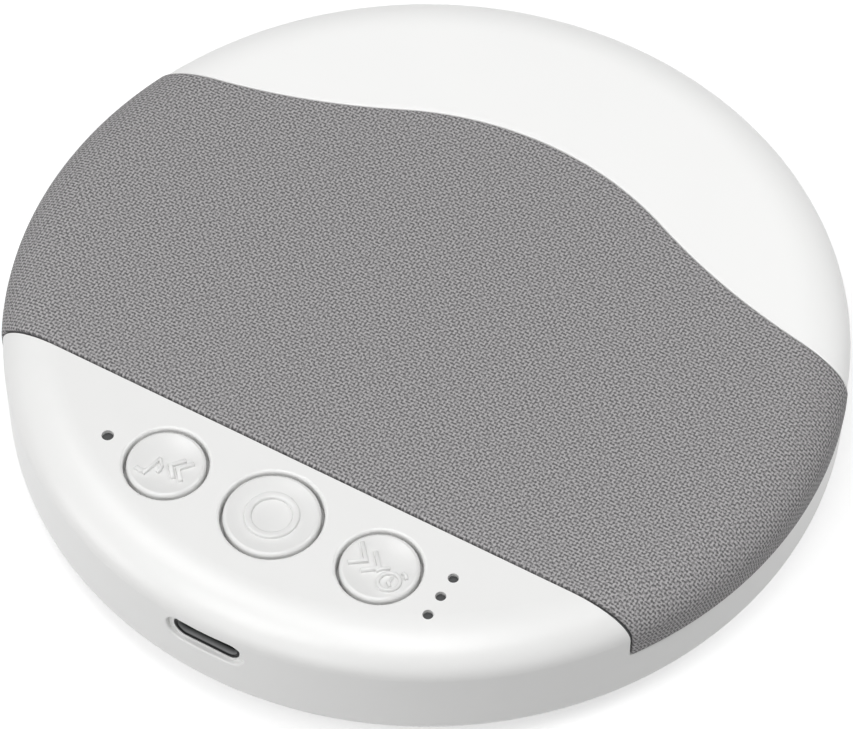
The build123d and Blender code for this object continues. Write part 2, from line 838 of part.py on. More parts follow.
roll_start = degrees(asin(surround_thickness / (roll_radius + surround_thickness)))
with BuildPart() as speaker_surround:
    with BuildSketch(Plane.XZ):
        with BuildLine():
            outer_roll = CenterArc(
                (roll_centre, speaker_z),
                roll_radius + surround_thickness,
                roll_start,
                half_turn - 2 * roll_start,
            )
            inner_roll = CenterArc((roll_centre, speaker_z), roll_radius, 0, half_turn)
            Polyline(
                inner_roll @ 0,
                (speaker_radius, speaker_z),
                (speaker_radius, surround_top_z),
                outer_roll @ 0,
            )
            Polyline(
                inner_roll @ 1,
                (lip_radius, speaker_z),
                (lip_radius, surround_top_z),
                outer_roll @ 1,
            )
        make_face()
    revolve(axis=Axis.Z)
finish(speaker_surround.part, "speaker_surround")

spider_inner = former_radius + thread_play
spider_step = (spider_seat_r - spider_inner) / spider_folds
spider_low = [
    (spider_inner + fold * spider_step, spider_z + fold % 2 * spider_ripple)
    for fold in range(spider_folds + 1)
] + [(basket_floor_radius, spider_z)]
with BuildPart() as speaker_spider:
    with BuildSketch(Plane.XZ):
        with BuildLine():
            Polyline(*spider_low, *[(r, z + spider_thickness) for r, z in reversed(spider_low)], close=True)
        make_face()
    revolve(axis=Axis.Z)
finish(speaker_spider.part, "speaker_spider")

with BuildPart() as speaker_gasket:
    with BuildSketch(Plane.XY.offset(surround_top_z)):
        Circle(speaker_radius)
        Circle(speaker_radius - flange_width + surround_thickness + seam_gap, mode=Mode.SUBTRACT)
    extrude(amount=gasket_thickness)
finish(speaker_gasket.part, "speaker_gasket")

terminal_y = terminal_overlap - speaker_radius
with BuildPart() as speaker_terminal:
    with BuildSketch(Plane.XY.offset(flange_bottom_z)):
        with Locations((0, terminal_y)):
            Rectangle(terminal_width, terminal_length, align=(Align.CENTER, Align.MAX))
        with Locations((0, terminal_y - terminal_length)):
            with GridLocations(tab_pitch, 0, 2, 1):
                Rectangle(tab_size, tab_size, align=(Align.CENTER, Align.MAX))
    extrude(amount=-terminal_thickness)
finish(speaker_terminal.part, "speaker_terminal")

ear_places = [
    (ear_circle * cos(radians(turn)), ear_circle * sin(radians(turn)), flange_bottom_z)
    for turn in corner_turns
]
with BuildPart() as speaker_screws:
    with Locations(*ear_places):
        add(screw_form(small_head_radius, small_head_height, small_thread_radius, speaker_screw_length))
finish(speaker_screws.part, "speaker_screws")

# ---------------------------------------------------------------- main board

with BuildPart() as main_board:
    with BuildSketch(Plane.XY.offset(board_under_z)):
        Circle(board_radius)
        with Locations((0, board_rear_y)):
            Rectangle(
                2 * board_radius, 2 * board_radius, align=(Align.CENTER, Align.MIN), mode=Mode.SUBTRACT
            )
        with Locations(*board_bosses):
            Circle(small_thread_radius + screw_hole_play, mode=Mode.SUBTRACT)
    extrude(amount=board_thickness)
finish(main_board.part, "main_board")

with BuildPart() as board_screws:
    with Locations(*[(x, y, board_under_z) for x, y in board_bosses]):
        add(screw_form(small_head_radius, small_head_height, small_thread_radius, board_screw_length))
finish(board_screws.part, "board_screws")

switch_places = [(button_x, button_y) for button_x, _ in buttons.values()]
with BuildPart() as switch_housings:
    with BuildSketch(Plane.XY.offset(board_top_z)):
        with Locations(*switch_places):
            RectangleRounded(switch_side, switch_side, edge_round)
    extrude(amount=switch_height)
    with BuildSketch(Plane.XY.offset(board_top_z + switch_height)):
        with Locations(*switch_places):
            Circle(switch_well_radius)
    extrude(amount=-switch_well_depth, mode=Mode.SUBTRACT)
finish(switch_housings.part, "switch_housings")

plunger_bottom_z = board_top_z + switch_height - switch_well_depth + button_travel + travel_gap
for side, (button_x, cap_radius) in buttons.items():
    with BuildPart() as plunger:
        with Locations((button_x, button_y, plunger_bottom_z)):
            Cylinder(
                plunger_radius,
                plunger_tip_z - plunger_bottom_z,
                align=(Align.CENTER, Align.CENTER, Align.MIN),
            )
        chamfer(plunger.edges().group_by(Axis.Z)[-1], edge_round / 2)
    finish(plunger.part, f"switch_plunger_{side}")

    with BuildPart() as button:
        with BuildSketch(Plane((button_x, button_y, 0), x_dir=(1, 0, 0), z_dir=(0, -1, 0))):
            with BuildLine():
                dish = TangentArc((0, dish_z), (cap_radius - button_lip, rim_z), tangent=(1, 0))
                lip = RadiusArc(dish @ 1, (cap_radius, rim_z - button_lip), button_lip)
                Polyline(
                    lip @ 1,
                    (cap_radius, flange_top_z),
                    (cap_radius + flange_reach, flange_top_z),
                    (cap_radius + flange_reach, flange_under_z),
                    (cap_radius - cap_wall, flange_under_z),
                    (cap_radius - cap_wall, dish_z - cap_wall),
                    (stem_radius, dish_z - cap_wall),
                    (stem_radius, plunger_tip_z),
                    (0, plunger_tip_z),
                    dish @ 0,
                )
            make_face()
        revolve(axis=Axis((button_x, button_y, 0), (0, 0, 1)))
        # notch that runs on the collar's key
        with BuildSketch(Plane.XY.offset(flange_top_z)):
            with Locations((button_x, button_y - cap_radius - flange_reach)):
                Rectangle(
                    key_width + 2 * key_gap, 2 * (key_height - collar_gap + key_gap)
                )
        extrude(amount=-flange_thickness, mode=Mode.SUBTRACT)
    finish(button.part, f"button_{side}")

usb_back_y = port_face_y + usb_length
with BuildPart() as usb_shell:
    with BuildSketch(Plane.XZ.offset(-port_face_y)):
        with Locations((0, port_z)):
            SlotOverall(usb_width, usb_height)
    extrude(amount=-usb_length)
    with BuildSketch(Plane.XZ.offset(-port_face_y)):
        with Locations((0, port_z)):
            SlotOverall(usb_width - 2 * usb_skin, usb_height - 2 * usb_skin)
    extrude(amount=-(usb_length - usb_skin), mode=Mode.SUBTRACT)
finish(usb_shell.part, "usb_shell")

with BuildPart() as usb_tongue:
    with BuildSketch(Plane.XZ.offset(-(usb_back_y - usb_skin))):
        with Locations((0, port_z)):
            Rectangle(usb_tongue_width, usb_tongue_thickness)
    extrude(amount=usb_tongue_length)
finish(usb_tongue.part, "usb_tongue")

with BuildPart() as indicator_leds:
    with BuildSketch(Plane.XY.offset(board_top_z)):
        with Locations(*indicator_places):
            Rectangle(led_length, led_width)
    extrude(amount=led_height)
finish(indicator_leds.part, "indicator_leds")

pipe_bottom_z = board_top_z + led_height + pipe_gap
pipe_top_z = top_z - pipe_recess
with BuildPart() as status_light_pipe:
    with BuildSketch(Plane.XY.offset(pipe_bottom_z)):
        with Locations((-indicator_x, button_y)):
            Circle(status_hole_radius - pipe_gap)
    extrude(amount=pipe_top_z - pipe_bottom_z)
    with BuildSketch(Plane.XY.offset(inner_top_z - seam_gap)):
        with Locations((-indicator_x, button_y)):
            Circle(pipe_shoulder_radius)
    extrude(amount=-pipe_shoulder_height)
finish(status_light_pipe.part, "status_light_pipe")

with BuildPart() as timer_light_pipes:
    with BuildSketch(Plane.XY.offset(pipe_bottom_z)):
        with Locations(*timer_places):
            Circle(timer_hole_radius - pipe_gap)
    extrude(amount=pipe_top_z - pipe_bottom_z)
    with BuildSketch(Plane.XY.offset(inner_top_z - seam_gap)):
        with Locations((indicator_x, button_y)):
            SlotOverall(
                2 * (indicator_pitch + pipe_shoulder_radius), 2 * pipe_shoulder_radius, rotation=90
            )
    extrude(amount=-pipe_shoulder_height)
finish(timer_light_pipes.part, "timer_light_pipes")

for package, (centre_x, ahead, length, width, height) in packages.items():
    with BuildPart() as chip:
        with BuildSketch(Plane.XY.offset(board_under_z)):
            with Locations((centre_x, button_y - ahead)):
                Rectangle(length, width)
        extrude(amount=-height)
        chamfer(chip.edges().group_by(Axis.Z)[0], package_chamfer)
    finish(chip.part, package)

with BuildPart() as board_capacitors:
    with BuildSketch(Plane.XY.offset(board_under_z)):
        with Locations((0, button_y - capacitors_ahead)):
            with GridLocations(capacitor_pitch, capacitor_pitch, 2, 3):
                Rectangle(capacitor_length, capacitor_width)
    extrude(amount=-capacitor_width)
finish(board_capacitors.part, "board_capacitors")

# ---------------------------------------------------------------- battery

with BuildPart() as battery_tape:
    with BuildSketch(Plane.XY.offset(floor_z)):
        with Locations((cell_x, cell_y)):
            Rectangle(cell_width - 2 * tape_border, cell_length - 2 * tape_border)
    extrude(amount=tape_thickness)
finish(battery_tape.part, "battery_tape")

with BuildPart() as battery_cell:
    with BuildSketch(Plane.XY.offset(cell_bottom_z)):
        with Locations((cell_x, cell_y)):
            RectangleRounded(cell_width, cell_length, cell_round)
    extrude(amount=cell_height)
    fillet(battery_cell.edges().group_by(Axis.Z)[-1], cell_round)
finish(battery_cell.part, "battery_cell")

strip_z = cell_bottom_z + cell_height / 2
strip_rear_y = cell_y - cell_length / 2
with BuildPart() as battery_circuit:
    with Locations((cell_x, strip_rear_y, strip_z)):
        Box(strip_width, strip_length, strip_height, align=(Align.CENTER, Align.MAX, Align.CENTER))
finish(battery_circuit.part, "battery_circuit")

# ---------------------------------------------------------------- connectors and leads

header_x = lead_hole_y - case_boss_radius - header_gap - header_width / 2
header_places = {"lamp": -header_x, "speaker": 0.0, "battery": header_x}
header_mouth_y = board_rear_y - header_inset
plug_front_y = header_mouth_y - plug_grip
plug_rear_y = plug_front_y + plug_length
cavity_width = header_width - 2 * header_skin
cavity_height = header_height - 2 * header_skin

with BuildPart() as board_headers:
    with Locations(*[(x, header_mouth_y, lead_z) for x in header_places.values()]):
        Box(header_width, header_length, header_height, align=(Align.CENTER, Align.MAX, Align.CENTER))
        Box(
            cavity_width,
            plug_grip + plug_gap,
            cavity_height,
            align=(Align.CENTER, Align.MAX, Align.CENTER),
            mode=Mode.SUBTRACT,
        )
finish(board_headers.part, "board_headers")

with BuildPart() as lead_plugs:
    with Locations(*[(x, plug_front_y, lead_z) for x in header_places.values()]):
        Box(
            cavity_width - 2 * plug_gap,
            plug_length,
            cavity_height - 2 * plug_gap,
            align=(Align.CENTER, Align.MIN, Align.CENTER),
        )
finish(lead_plugs.part, "lead_plugs")

speaker_turn_y = terminal_y - terminal_length / 2
with BuildPart() as speaker_lead:
    for side in (-1, 1):
        wire_x = side * wire_pitch / 2
        add(
            wire_form(
                [
                    (wire_x, plug_rear_y, lead_z),
                    (wire_x, speaker_turn_y, lead_z),
                    (wire_x, speaker_turn_y, flange_bottom_z - terminal_thickness),
                ],
                speaker_lead_bend,
            )
        )
finish(speaker_lead.part, "speaker_lead")

strip_end_y = strip_rear_y - strip_length
battery_turn_y = strip_end_y - battery_lead_gap
battery_lead_x = cell_x - strip_lead_offset
with BuildPart() as battery_lead:
    for wire_z in (low_wire_z, high_wire_z):
        add(
            wire_form(
                [
                    (header_x, plug_rear_y, wire_z),
                    (header_x, battery_turn_y, wire_z),
                    (battery_lead_x, battery_turn_y, wire_z),
                    (battery_lead_x, strip_end_y, wire_z),
                ],
                battery_lead_bends,
            )
        )
finish(battery_lead.part, "battery_lead")

lamp_turn_y = plug_rear_y + lamp_lead_start
with BuildPart() as lamp_lead:
    for wire_z, wire_y, bend in (
        (low_wire_z, lead_hole_y + wire_pitch / 2, lamp_riser_bends[0]),
        (high_wire_z, lead_hole_y - wire_pitch / 2, lamp_riser_bends[1]),
    ):
        add(
            wire_form(
                [
                    (-header_x, plug_rear_y, wire_z),
                    (-header_x, lamp_turn_y, wire_z),
                    (lamp_lead_x, lamp_turn_y + lamp_lead_slant, wire_z),
                    (lamp_lead_x, wire_y, wire_z),
                    (lamp_lead_x, wire_y, tray_top_z),
                ],
                [*lamp_lead_bends, bend],
            )
        )
finish(lamp_lead.part, "lamp_lead")
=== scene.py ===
import json
import logging
import math
from collections.abc import Callable
from dataclasses import dataclass, field
from enum import Enum

import bmesh
import bpy
import numpy as np
from mathutils import Matrix, Vector


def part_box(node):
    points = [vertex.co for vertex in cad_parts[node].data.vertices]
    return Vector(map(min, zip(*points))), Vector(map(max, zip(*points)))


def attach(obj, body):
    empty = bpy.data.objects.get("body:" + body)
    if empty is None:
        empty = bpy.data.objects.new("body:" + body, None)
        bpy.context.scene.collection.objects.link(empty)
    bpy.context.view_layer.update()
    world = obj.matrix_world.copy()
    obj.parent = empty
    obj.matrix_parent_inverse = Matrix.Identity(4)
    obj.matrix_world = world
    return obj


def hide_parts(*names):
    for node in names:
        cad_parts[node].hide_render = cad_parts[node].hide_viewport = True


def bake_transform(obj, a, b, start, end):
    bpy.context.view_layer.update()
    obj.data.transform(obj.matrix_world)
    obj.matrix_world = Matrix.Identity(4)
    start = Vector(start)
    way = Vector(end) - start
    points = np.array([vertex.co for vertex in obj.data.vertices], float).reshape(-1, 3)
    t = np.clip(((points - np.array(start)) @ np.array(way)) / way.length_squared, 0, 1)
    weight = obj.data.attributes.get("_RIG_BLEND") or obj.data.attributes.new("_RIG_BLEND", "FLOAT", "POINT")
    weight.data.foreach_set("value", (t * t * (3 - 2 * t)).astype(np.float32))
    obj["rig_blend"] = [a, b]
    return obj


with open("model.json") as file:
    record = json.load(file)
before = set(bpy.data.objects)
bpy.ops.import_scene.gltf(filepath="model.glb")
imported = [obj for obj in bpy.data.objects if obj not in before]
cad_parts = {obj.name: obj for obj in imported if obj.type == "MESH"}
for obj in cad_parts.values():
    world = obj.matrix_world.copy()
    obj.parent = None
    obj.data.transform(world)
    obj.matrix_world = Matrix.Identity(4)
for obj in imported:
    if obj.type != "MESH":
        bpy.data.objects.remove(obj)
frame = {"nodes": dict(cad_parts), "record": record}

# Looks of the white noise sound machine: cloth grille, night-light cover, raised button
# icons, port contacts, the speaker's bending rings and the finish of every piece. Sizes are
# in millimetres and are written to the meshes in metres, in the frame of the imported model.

LOG = logging.getLogger("sound_machine")
MM = 0.001
IMAGE_WIDTH = 853
MERGE_DISTANCE = 0.0005


# ------------------------------------------------------------------ helpers


def linear(colour: str, alpha: float = 1.0) -> tuple[float, float, float, float]:
    """Turns an sRGB hex colour into linear light.

    Args:
        colour: the colour as "#RRGGBB".
        alpha: the opacity that goes with it.

    Returns:
        Red, green, blue and alpha.
    """
    parts = [int(colour[place:place + 2], 16) / 255 for place in (1, 3, 5)]
    light = [
        part / 12.92 if part <= 0.04045 else ((part + 0.055) / 1.055) ** 2.4
        for part in parts
    ]
    return (*light, alpha)


def add_node(
    tree: bpy.types.NodeTree, kind: str, settings: dict | None = None, inputs: dict | None = None,
) -> bpy.types.Node:
    """Adds a node with its settings and links.

    Args:
        tree: the node tree that it joins.
        kind: the node's type name.
        settings: attributes of the node.
        inputs: socket name or index to a value, or to the output socket that feeds it.

    Returns:
        The new node.
    """
    node = tree.nodes.new(kind)
    for name, value in (settings or {}).items():
        setattr(node, name, value)
    for name, value in (inputs or {}).items():
        if isinstance(value, bpy.types.NodeSocket):
            tree.links.new(value, node.inputs[name])
        else:
            node.inputs[name].default_value = value
    return node


def grid_faces(
    rows: int, columns: int, start: int = 0, closed: bool = False, flip: bool = False,
) -> np.ndarray:
    """Quads between the points of a grid, numbered row by row.

    Args:
        rows: number of rows of points.
        columns: number of points in a row.
        start: number of the first point.
        closed: whether each row's last point joins its first.
        flip: whether the faces are turned over.

    Returns:
        One row of four point numbers for each face.
    """
    row = np.arange(rows - 1)[:, None] * columns
    place = np.arange(columns if closed else columns - 1)[None, :]
    after = (place + 1) % columns
    below = row + columns
    quads = np.stack([row + place, row + after, below + after, below + place], axis=-1)
    quads = quads.reshape(-1, 4) + start
    return quads[:, ::-1] if flip else quads


def make_mesh(
    name: str, points: np.ndarray, faces: np.ndarray, uv: np.ndarray | None = None,
) -> bpy.types.Object:
    """Makes a smooth-shaded mesh object at the origin.

    Args:
        name: the piece's name.
        points: one row of x, y and z for each point, in millimetres.
        faces: one row of four point numbers for each face.
        uv: the pattern's coordinates of each point.

    Returns:
        The object, with coincident points merged and the faces that close up with them dropped.
    """
    mesh = bpy.data.meshes.new(name)
    mesh.from_pydata((points * MM).tolist(), [], faces.tolist())
    if uv is not None:
        corners = np.empty(len(mesh.loops), dtype=np.int32)
        mesh.loops.foreach_get("vertex_index", corners)
        mesh.uv_layers.new(name="thread_map").data.foreach_set("uv", uv[corners].ravel())
    piece = bpy.data.objects.new(name, mesh)
    bpy.context.scene.collection.objects.link(piece)
    shape = bmesh.new()
    shape.from_mesh(mesh)
    bmesh.ops.remove_doubles(shape, verts=shape.verts, dist=MERGE_DISTANCE * MM)
    bmesh.ops.dissolve_degenerate(shape, edges=shape.edges, dist=MERGE_DISTANCE * MM)
    shape.to_mesh(mesh)
    shape.free()
    mesh.polygons.foreach_set("use_smooth", np.ones(len(mesh.polygons), dtype=bool))
    mesh.update()
    return piece


def onwards(start: np.ndarray, stop: np.ndarray | float, steps: int) -> np.ndarray:
    """Even steps along each row, without the first: start plus the step's share of the way."""
    return start + (stop - start) * np.linspace(0, 1, steps)[None, 1:]


def direction(azimuth: float, elevation: float) -> Vector:
    """Unit vector at an azimuth and an elevation.

    Args:
        azimuth: turn from the front towards the right, in degrees.
        elevation: rise over the floor, in degrees.

    Returns:
        The vector.
    """
    turn, lift = math.radians(azimuth), math.radians(elevation)
    level = math.cos(lift)
    return Vector((math.sin(turn) * level, -math.cos(turn) * level, math.sin(lift)))


# ------------------------------------------------------------------ the body's form


@dataclass(frozen=True)
class BodyForm:
    """Round flat-topped body: flat top, elliptical crown and plain wall.

    The profile's parameter runs 0 to 1 over the flat, 1 to 2 round a quarter of the crown's
    ellipse and on from 2 down the wall, one unit for each wall_unit.

    Attributes:
        top, radius: height of the flat and radius of the wall.
        flat_radius: radius of the flat.
        crown_drop: height of the crown.
        wall_unit: length of wall for one unit of the parameter.
        crown_samples: points in the crown's table of lengths.
        crest_radius, trough_radius: radii of the wave edge's arcs.
        crest_y: y of its crest.
        crest_turn: turn of the crest's arc on each side, in degrees.
    """

    top: float
    radius: float
    flat_radius: float = 45.8
    crown_drop: float = 4.3
    wall_unit: float = 10.0
    crown_samples: int = 1501
    crest_radius: float = 43.1
    crest_y: float = 29.9
    crest_turn: float = 25.9
    trough_radius: float = 90.2

    def profile(
        self, place: np.ndarray, inset: np.ndarray | float,
    ) -> tuple[np.ndarray, np.ndarray]:
        """Radius and height of the profile.

        The flat is a straight line, the crown is the flat's radius plus reach times the sine
        of the turn and the top less drop times one minus its cosine, and the wall is upright.

        Args:
            place: the profile's parameter.
            inset: how far the form is drawn in.

        Returns:
            The radii and the heights.
        """
        flat = np.clip(place, 0, 1)
        turn = np.clip(place - 1, 0, 1) * math.pi / 2
        wall = np.clip(place - 2, 0, None)
        reach = self.radius - self.flat_radius - inset
        drop = self.crown_drop - inset
        across = flat * self.flat_radius + np.sin(turn) * reach
        height = self.top - inset - (1 - np.cos(turn)) * drop - wall * self.wall_unit
        return across, height

    def lengths(self, inset: float) -> tuple[np.ndarray, np.ndarray, np.ndarray]:
        """Table along the profile, whose length is summed from short straight steps.

        Args:
            inset: how far the form is drawn in.

        Returns:
            The profile's parameter, its length from the centre and its radius.
        """
        place = np.concatenate([[0.0], np.linspace(1, 2, self.crown_samples), [2.5, 3.0]])
        across, height = self.profile(place, inset)
        steps = np.hypot(np.diff(across), np.diff(height))
        return place, np.concatenate([[0.0], np.cumsum(steps)]), across

    def wall_place(self, height: float) -> float:
        """The profile's parameter at a height on the wall."""
        return 2 + (self.top - self.crown_drop - height) / self.wall_unit

    def wave(self, across: np.ndarray, shift: float) -> np.ndarray:
        """Y of the wave edge: a crest arc between two trough arcs, set back by shift.

        Args:
            across: x of each point.
            shift: distance towards the night light.

        Returns:
            y of each point.
        """
        turn = math.radians(self.crest_turn)
        crest_centre = self.crest_y - self.crest_radius
        trough_x = (self.crest_radius + self.trough_radius) * math.sin(turn)
        trough_y = crest_centre + (self.crest_radius + self.trough_radius) * math.cos(turn)
        crest = self.crest_radius + shift
        trough = self.trough_radius - shift
        away = np.abs(across)
        on_crest = crest_centre + np.sqrt(np.clip(crest**2 - away**2, 0, None))
        on_trough = trough_y - np.sqrt(trough**2 - (away - trough_x) ** 2)
        return np.where(away < crest * math.sin(turn), on_crest, on_trough)


def resample(points: np.ndarray, places: np.ndarray) -> np.ndarray:
    """Points along a polyline at given shares of its length.

    Args:
        points: the polyline, one row of two coordinates for each point.
        places: shares of the length, from 0 to 1.

    Returns:
        One row of two coordinates for each share.
    """
    steps = np.hypot(*np.diff(points, axis=0).T)
    length = np.concatenate([[0.0], np.cumsum(steps)])
    along = places * length[-1]
    return np.stack([np.interp(along, length, points[:, axis]) for axis in (0, 1)], axis=-1)


# ------------------------------------------------------------------ finishes


class Slot(Enum):
    """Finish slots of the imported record."""

    CASE = "case_plastic"
    INNER = "inner_plastic"
    FRAME = "frame_plastic"
    LIGHT = "light_plastic"
    CLEAR = "clear_plastic"
    DARK = "dark_plastic"
    CELL = "cell_wrap"
    BOARD = "board_laminate"
    LAMP = "lamp"
    CLOTH = "cloth"
    PAPER = "paper"
    SPIDER = "spider_cloth"
    RUBBER = "rubber"
    FOAM = "foam"
    TAPE = "tape"
    WIRE = "wire"
    STEEL = "steel"
    MAGNET = "magnet"
    SHELL = "shell_steel"
    COPPER = "copper"


@dataclass(frozen=True)
class Arithmetic:
    """Chains sums in a node tree.

    Attributes:
        tree: the node tree that they join.
    """

    tree: bpy.types.NodeTree

    def run(self, operation: str, *terms: float | bpy.types.NodeSocket) -> bpy.types.NodeSocket:
        """Adds one sum and gives its result.

        Args:
            operation: the kind of sum.
            terms: numbers, or sockets with earlier results.

        Returns:
            The socket with the result.
        """
        inputs = dict(enumerate(terms))
        return add_node(self.tree, "ShaderNodeMath", {"operation": operation}, inputs).outputs[0]


@dataclass(frozen=True)
class Finish:
    """Plain finish with a fine grain.

    Attributes:
        name: the material's name.
        colour: sRGB hex colour.
        tint: sRGB hex colour that the grain drifts towards.
        roughness: the surface's roughness.
        grain: size of the surface's grain.
        relief: height of the grain.
        metallic: 1 for a metal.
        specular: specular level of a plastic.
        coat: weight of a clear coat.
        drift: size of the colour's drift, in grains.
        stray: how far the roughness strays with the grain, as a share.
    """

    name: str
    colour: str
    tint: str
    roughness: float
    grain: float = 0.3
    relief: float = 0.002
    metallic: float = 0.0
    specular: float = 0.5
    coat: float = 0.0
    drift: float = 40.0
    stray: float = 0.08

    def shade(self, tree: bpy.types.NodeTree, shader: bpy.types.Node) -> None:
        """Links the surface of a fine-grained plastic.

        The grain is noise in object space, so it stays on the piece. A second, much wider
        noise lets the colour drift by a trace.

        Args:
            tree: the material's node tree.
            shader: the surface shader.
        """
        place = add_node(tree, "ShaderNodeTexCoord").outputs["Object"]
        grain, drift = (
            add_node(tree, "ShaderNodeTexNoise", inputs={
                "Vector": place, "Scale": 1 / (size * self.grain * MM), "Detail": detail,
            }).outputs["Fac"]
            for size, detail in ((1, 2.0), (self.drift, 1.0))
        )
        self.surface(tree, shader, grain, drift)

    def surface(
        self, tree: bpy.types.NodeTree, shader: bpy.types.Node,
        grain: bpy.types.NodeSocket, drift: bpy.types.NodeSocket,
    ) -> None:
        """Links the colour, roughness and bump that a grain gives.

        Args:
            tree: the material's node tree.
            shader: the surface shader.
            grain: the noise that roughens and lifts the surface.
            drift: the noise that takes the colour towards the tint.
        """
        colour = add_node(tree, "ShaderNodeMix", {"data_type": "RGBA"}, {
            "Factor": drift, "A": linear(self.colour), "B": linear(self.tint),
        })
        gloss = add_node(tree, "ShaderNodeMapRange", inputs={
            "Value": grain, "To Min": self.roughness * (1 - self.stray),
            "To Max": min(1.0, self.roughness * (1 + self.stray)),
        })
        bump = add_node(tree, "ShaderNodeBump", inputs={
            "Height": grain, "Distance": self.relief * MM, "Strength": 1.0,
        })
        tree.links.new(colour.outputs["Result"], shader.inputs["Base Color"])
        tree.links.new(gloss.outputs["Result"], shader.inputs["Roughness"])
        tree.links.new(bump.outputs["Normal"], shader.inputs["Normal"])

    def material(self) -> bpy.types.Material:
        """Makes the material, with its constants on the shader's own sockets.

        Returns:
            The material, which all the pieces of this finish share.
        """
        made = bpy.data.materials.get(self.name)
        if made is not None:
            return made
        made = bpy.data.materials.new(self.name)
        made.use_nodes = True
        made.diffuse_color = linear(self.colour)
        tree = made.node_tree
        shader = tree.nodes["Principled BSDF"]
        shader.inputs["Metallic"].default_value = self.metallic
        shader.inputs["Specular IOR Level"].default_value = self.specular
        shader.inputs["Coat Weight"].default_value = self.coat
        self.shade(tree, shader)
        return made


@dataclass(frozen=True)
class BrushedMetal(Finish):
    """Plated or turned metal with fine lines along one axis.

    Attributes:
        stretch: how much longer the lines are than they are wide.
    """

    stretch: float = 20.0
    stray: float = 0.2

    def shade(self, tree: bpy.types.NodeTree, shader: bpy.types.Node) -> None:
        """Links a noise drawn out along x to the colour, roughness and bump.

        Args:
            tree: the material's node tree.
            shader: the surface shader.
        """
        place = add_node(tree, "ShaderNodeTexCoord")
        lines = add_node(tree, "ShaderNodeMapping", inputs={
            "Vector": place.outputs["Object"], "Scale": (1 / self.stretch, 1.0, 1.0),
        })
        grain = add_node(tree, "ShaderNodeTexNoise", inputs={
            "Vector": lines.outputs["Vector"], "Scale": 1 / (self.grain * MM), "Detail": 3.0,
        }).outputs["Fac"]
        self.surface(tree, shader, grain, grain)


@dataclass(frozen=True)
class PortShell(BrushedMetal):
    """Plated shell, its colour darkened at the lip and deeper in as painted shade.

    Attributes:
        dark: sRGB hex colour of the painted shade at the lip and deeper in.
        lip_y: y of the lip's front, in millimetres.
        bare: depths from the lip where the plating starts to show and shows fully, and where it
            starts to fade into the painted shade deeper in and has gone.
    """

    dark: str = "#161718"
    lip_y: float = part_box("usb_shell")[0][1] / MM
    bare: tuple[float, float, float, float] = (0.1, 0.25, 0.35, 1.05)

    def shade(self, tree: bpy.types.NodeTree, shader: bpy.types.Node) -> None:
        """Links the plated metal, then paints shade over its colour outside the bare band.

        The plating's share is the product of two ramps along y, one at the lip and one deeper in.

        Args:
            tree: the material's node tree.
            shader: the surface shader.
        """
        super().shade(tree, shader)
        plating = shader.inputs["Base Color"].links[0].from_socket
        place = add_node(tree, "ShaderNodeTexCoord")
        axes = add_node(tree, "ShaderNodeSeparateXYZ", inputs={"Vector": place.outputs["Object"]})
        start, shown, going, gone = ((self.lip_y + depth) * MM for depth in self.bare)
        ramps = [
            add_node(tree, "ShaderNodeMapRange", inputs={
                "Value": axes.outputs["Y"], "From Min": fully_shaded, "From Max": full,
            }).outputs["Result"]
            for fully_shaded, full in ((start, shown), (gone, going))
        ]
        # the colour goes dark at the lip and deeper in: painted shade
        colour = add_node(tree, "ShaderNodeMix", {"data_type": "RGBA"}, {
            "Factor": Arithmetic(tree).run("MULTIPLY", *ramps),
            "A": linear(self.dark), "B": plating,
        })
        tree.links.new(colour.outputs["Result"], shader.inputs["Base Color"])


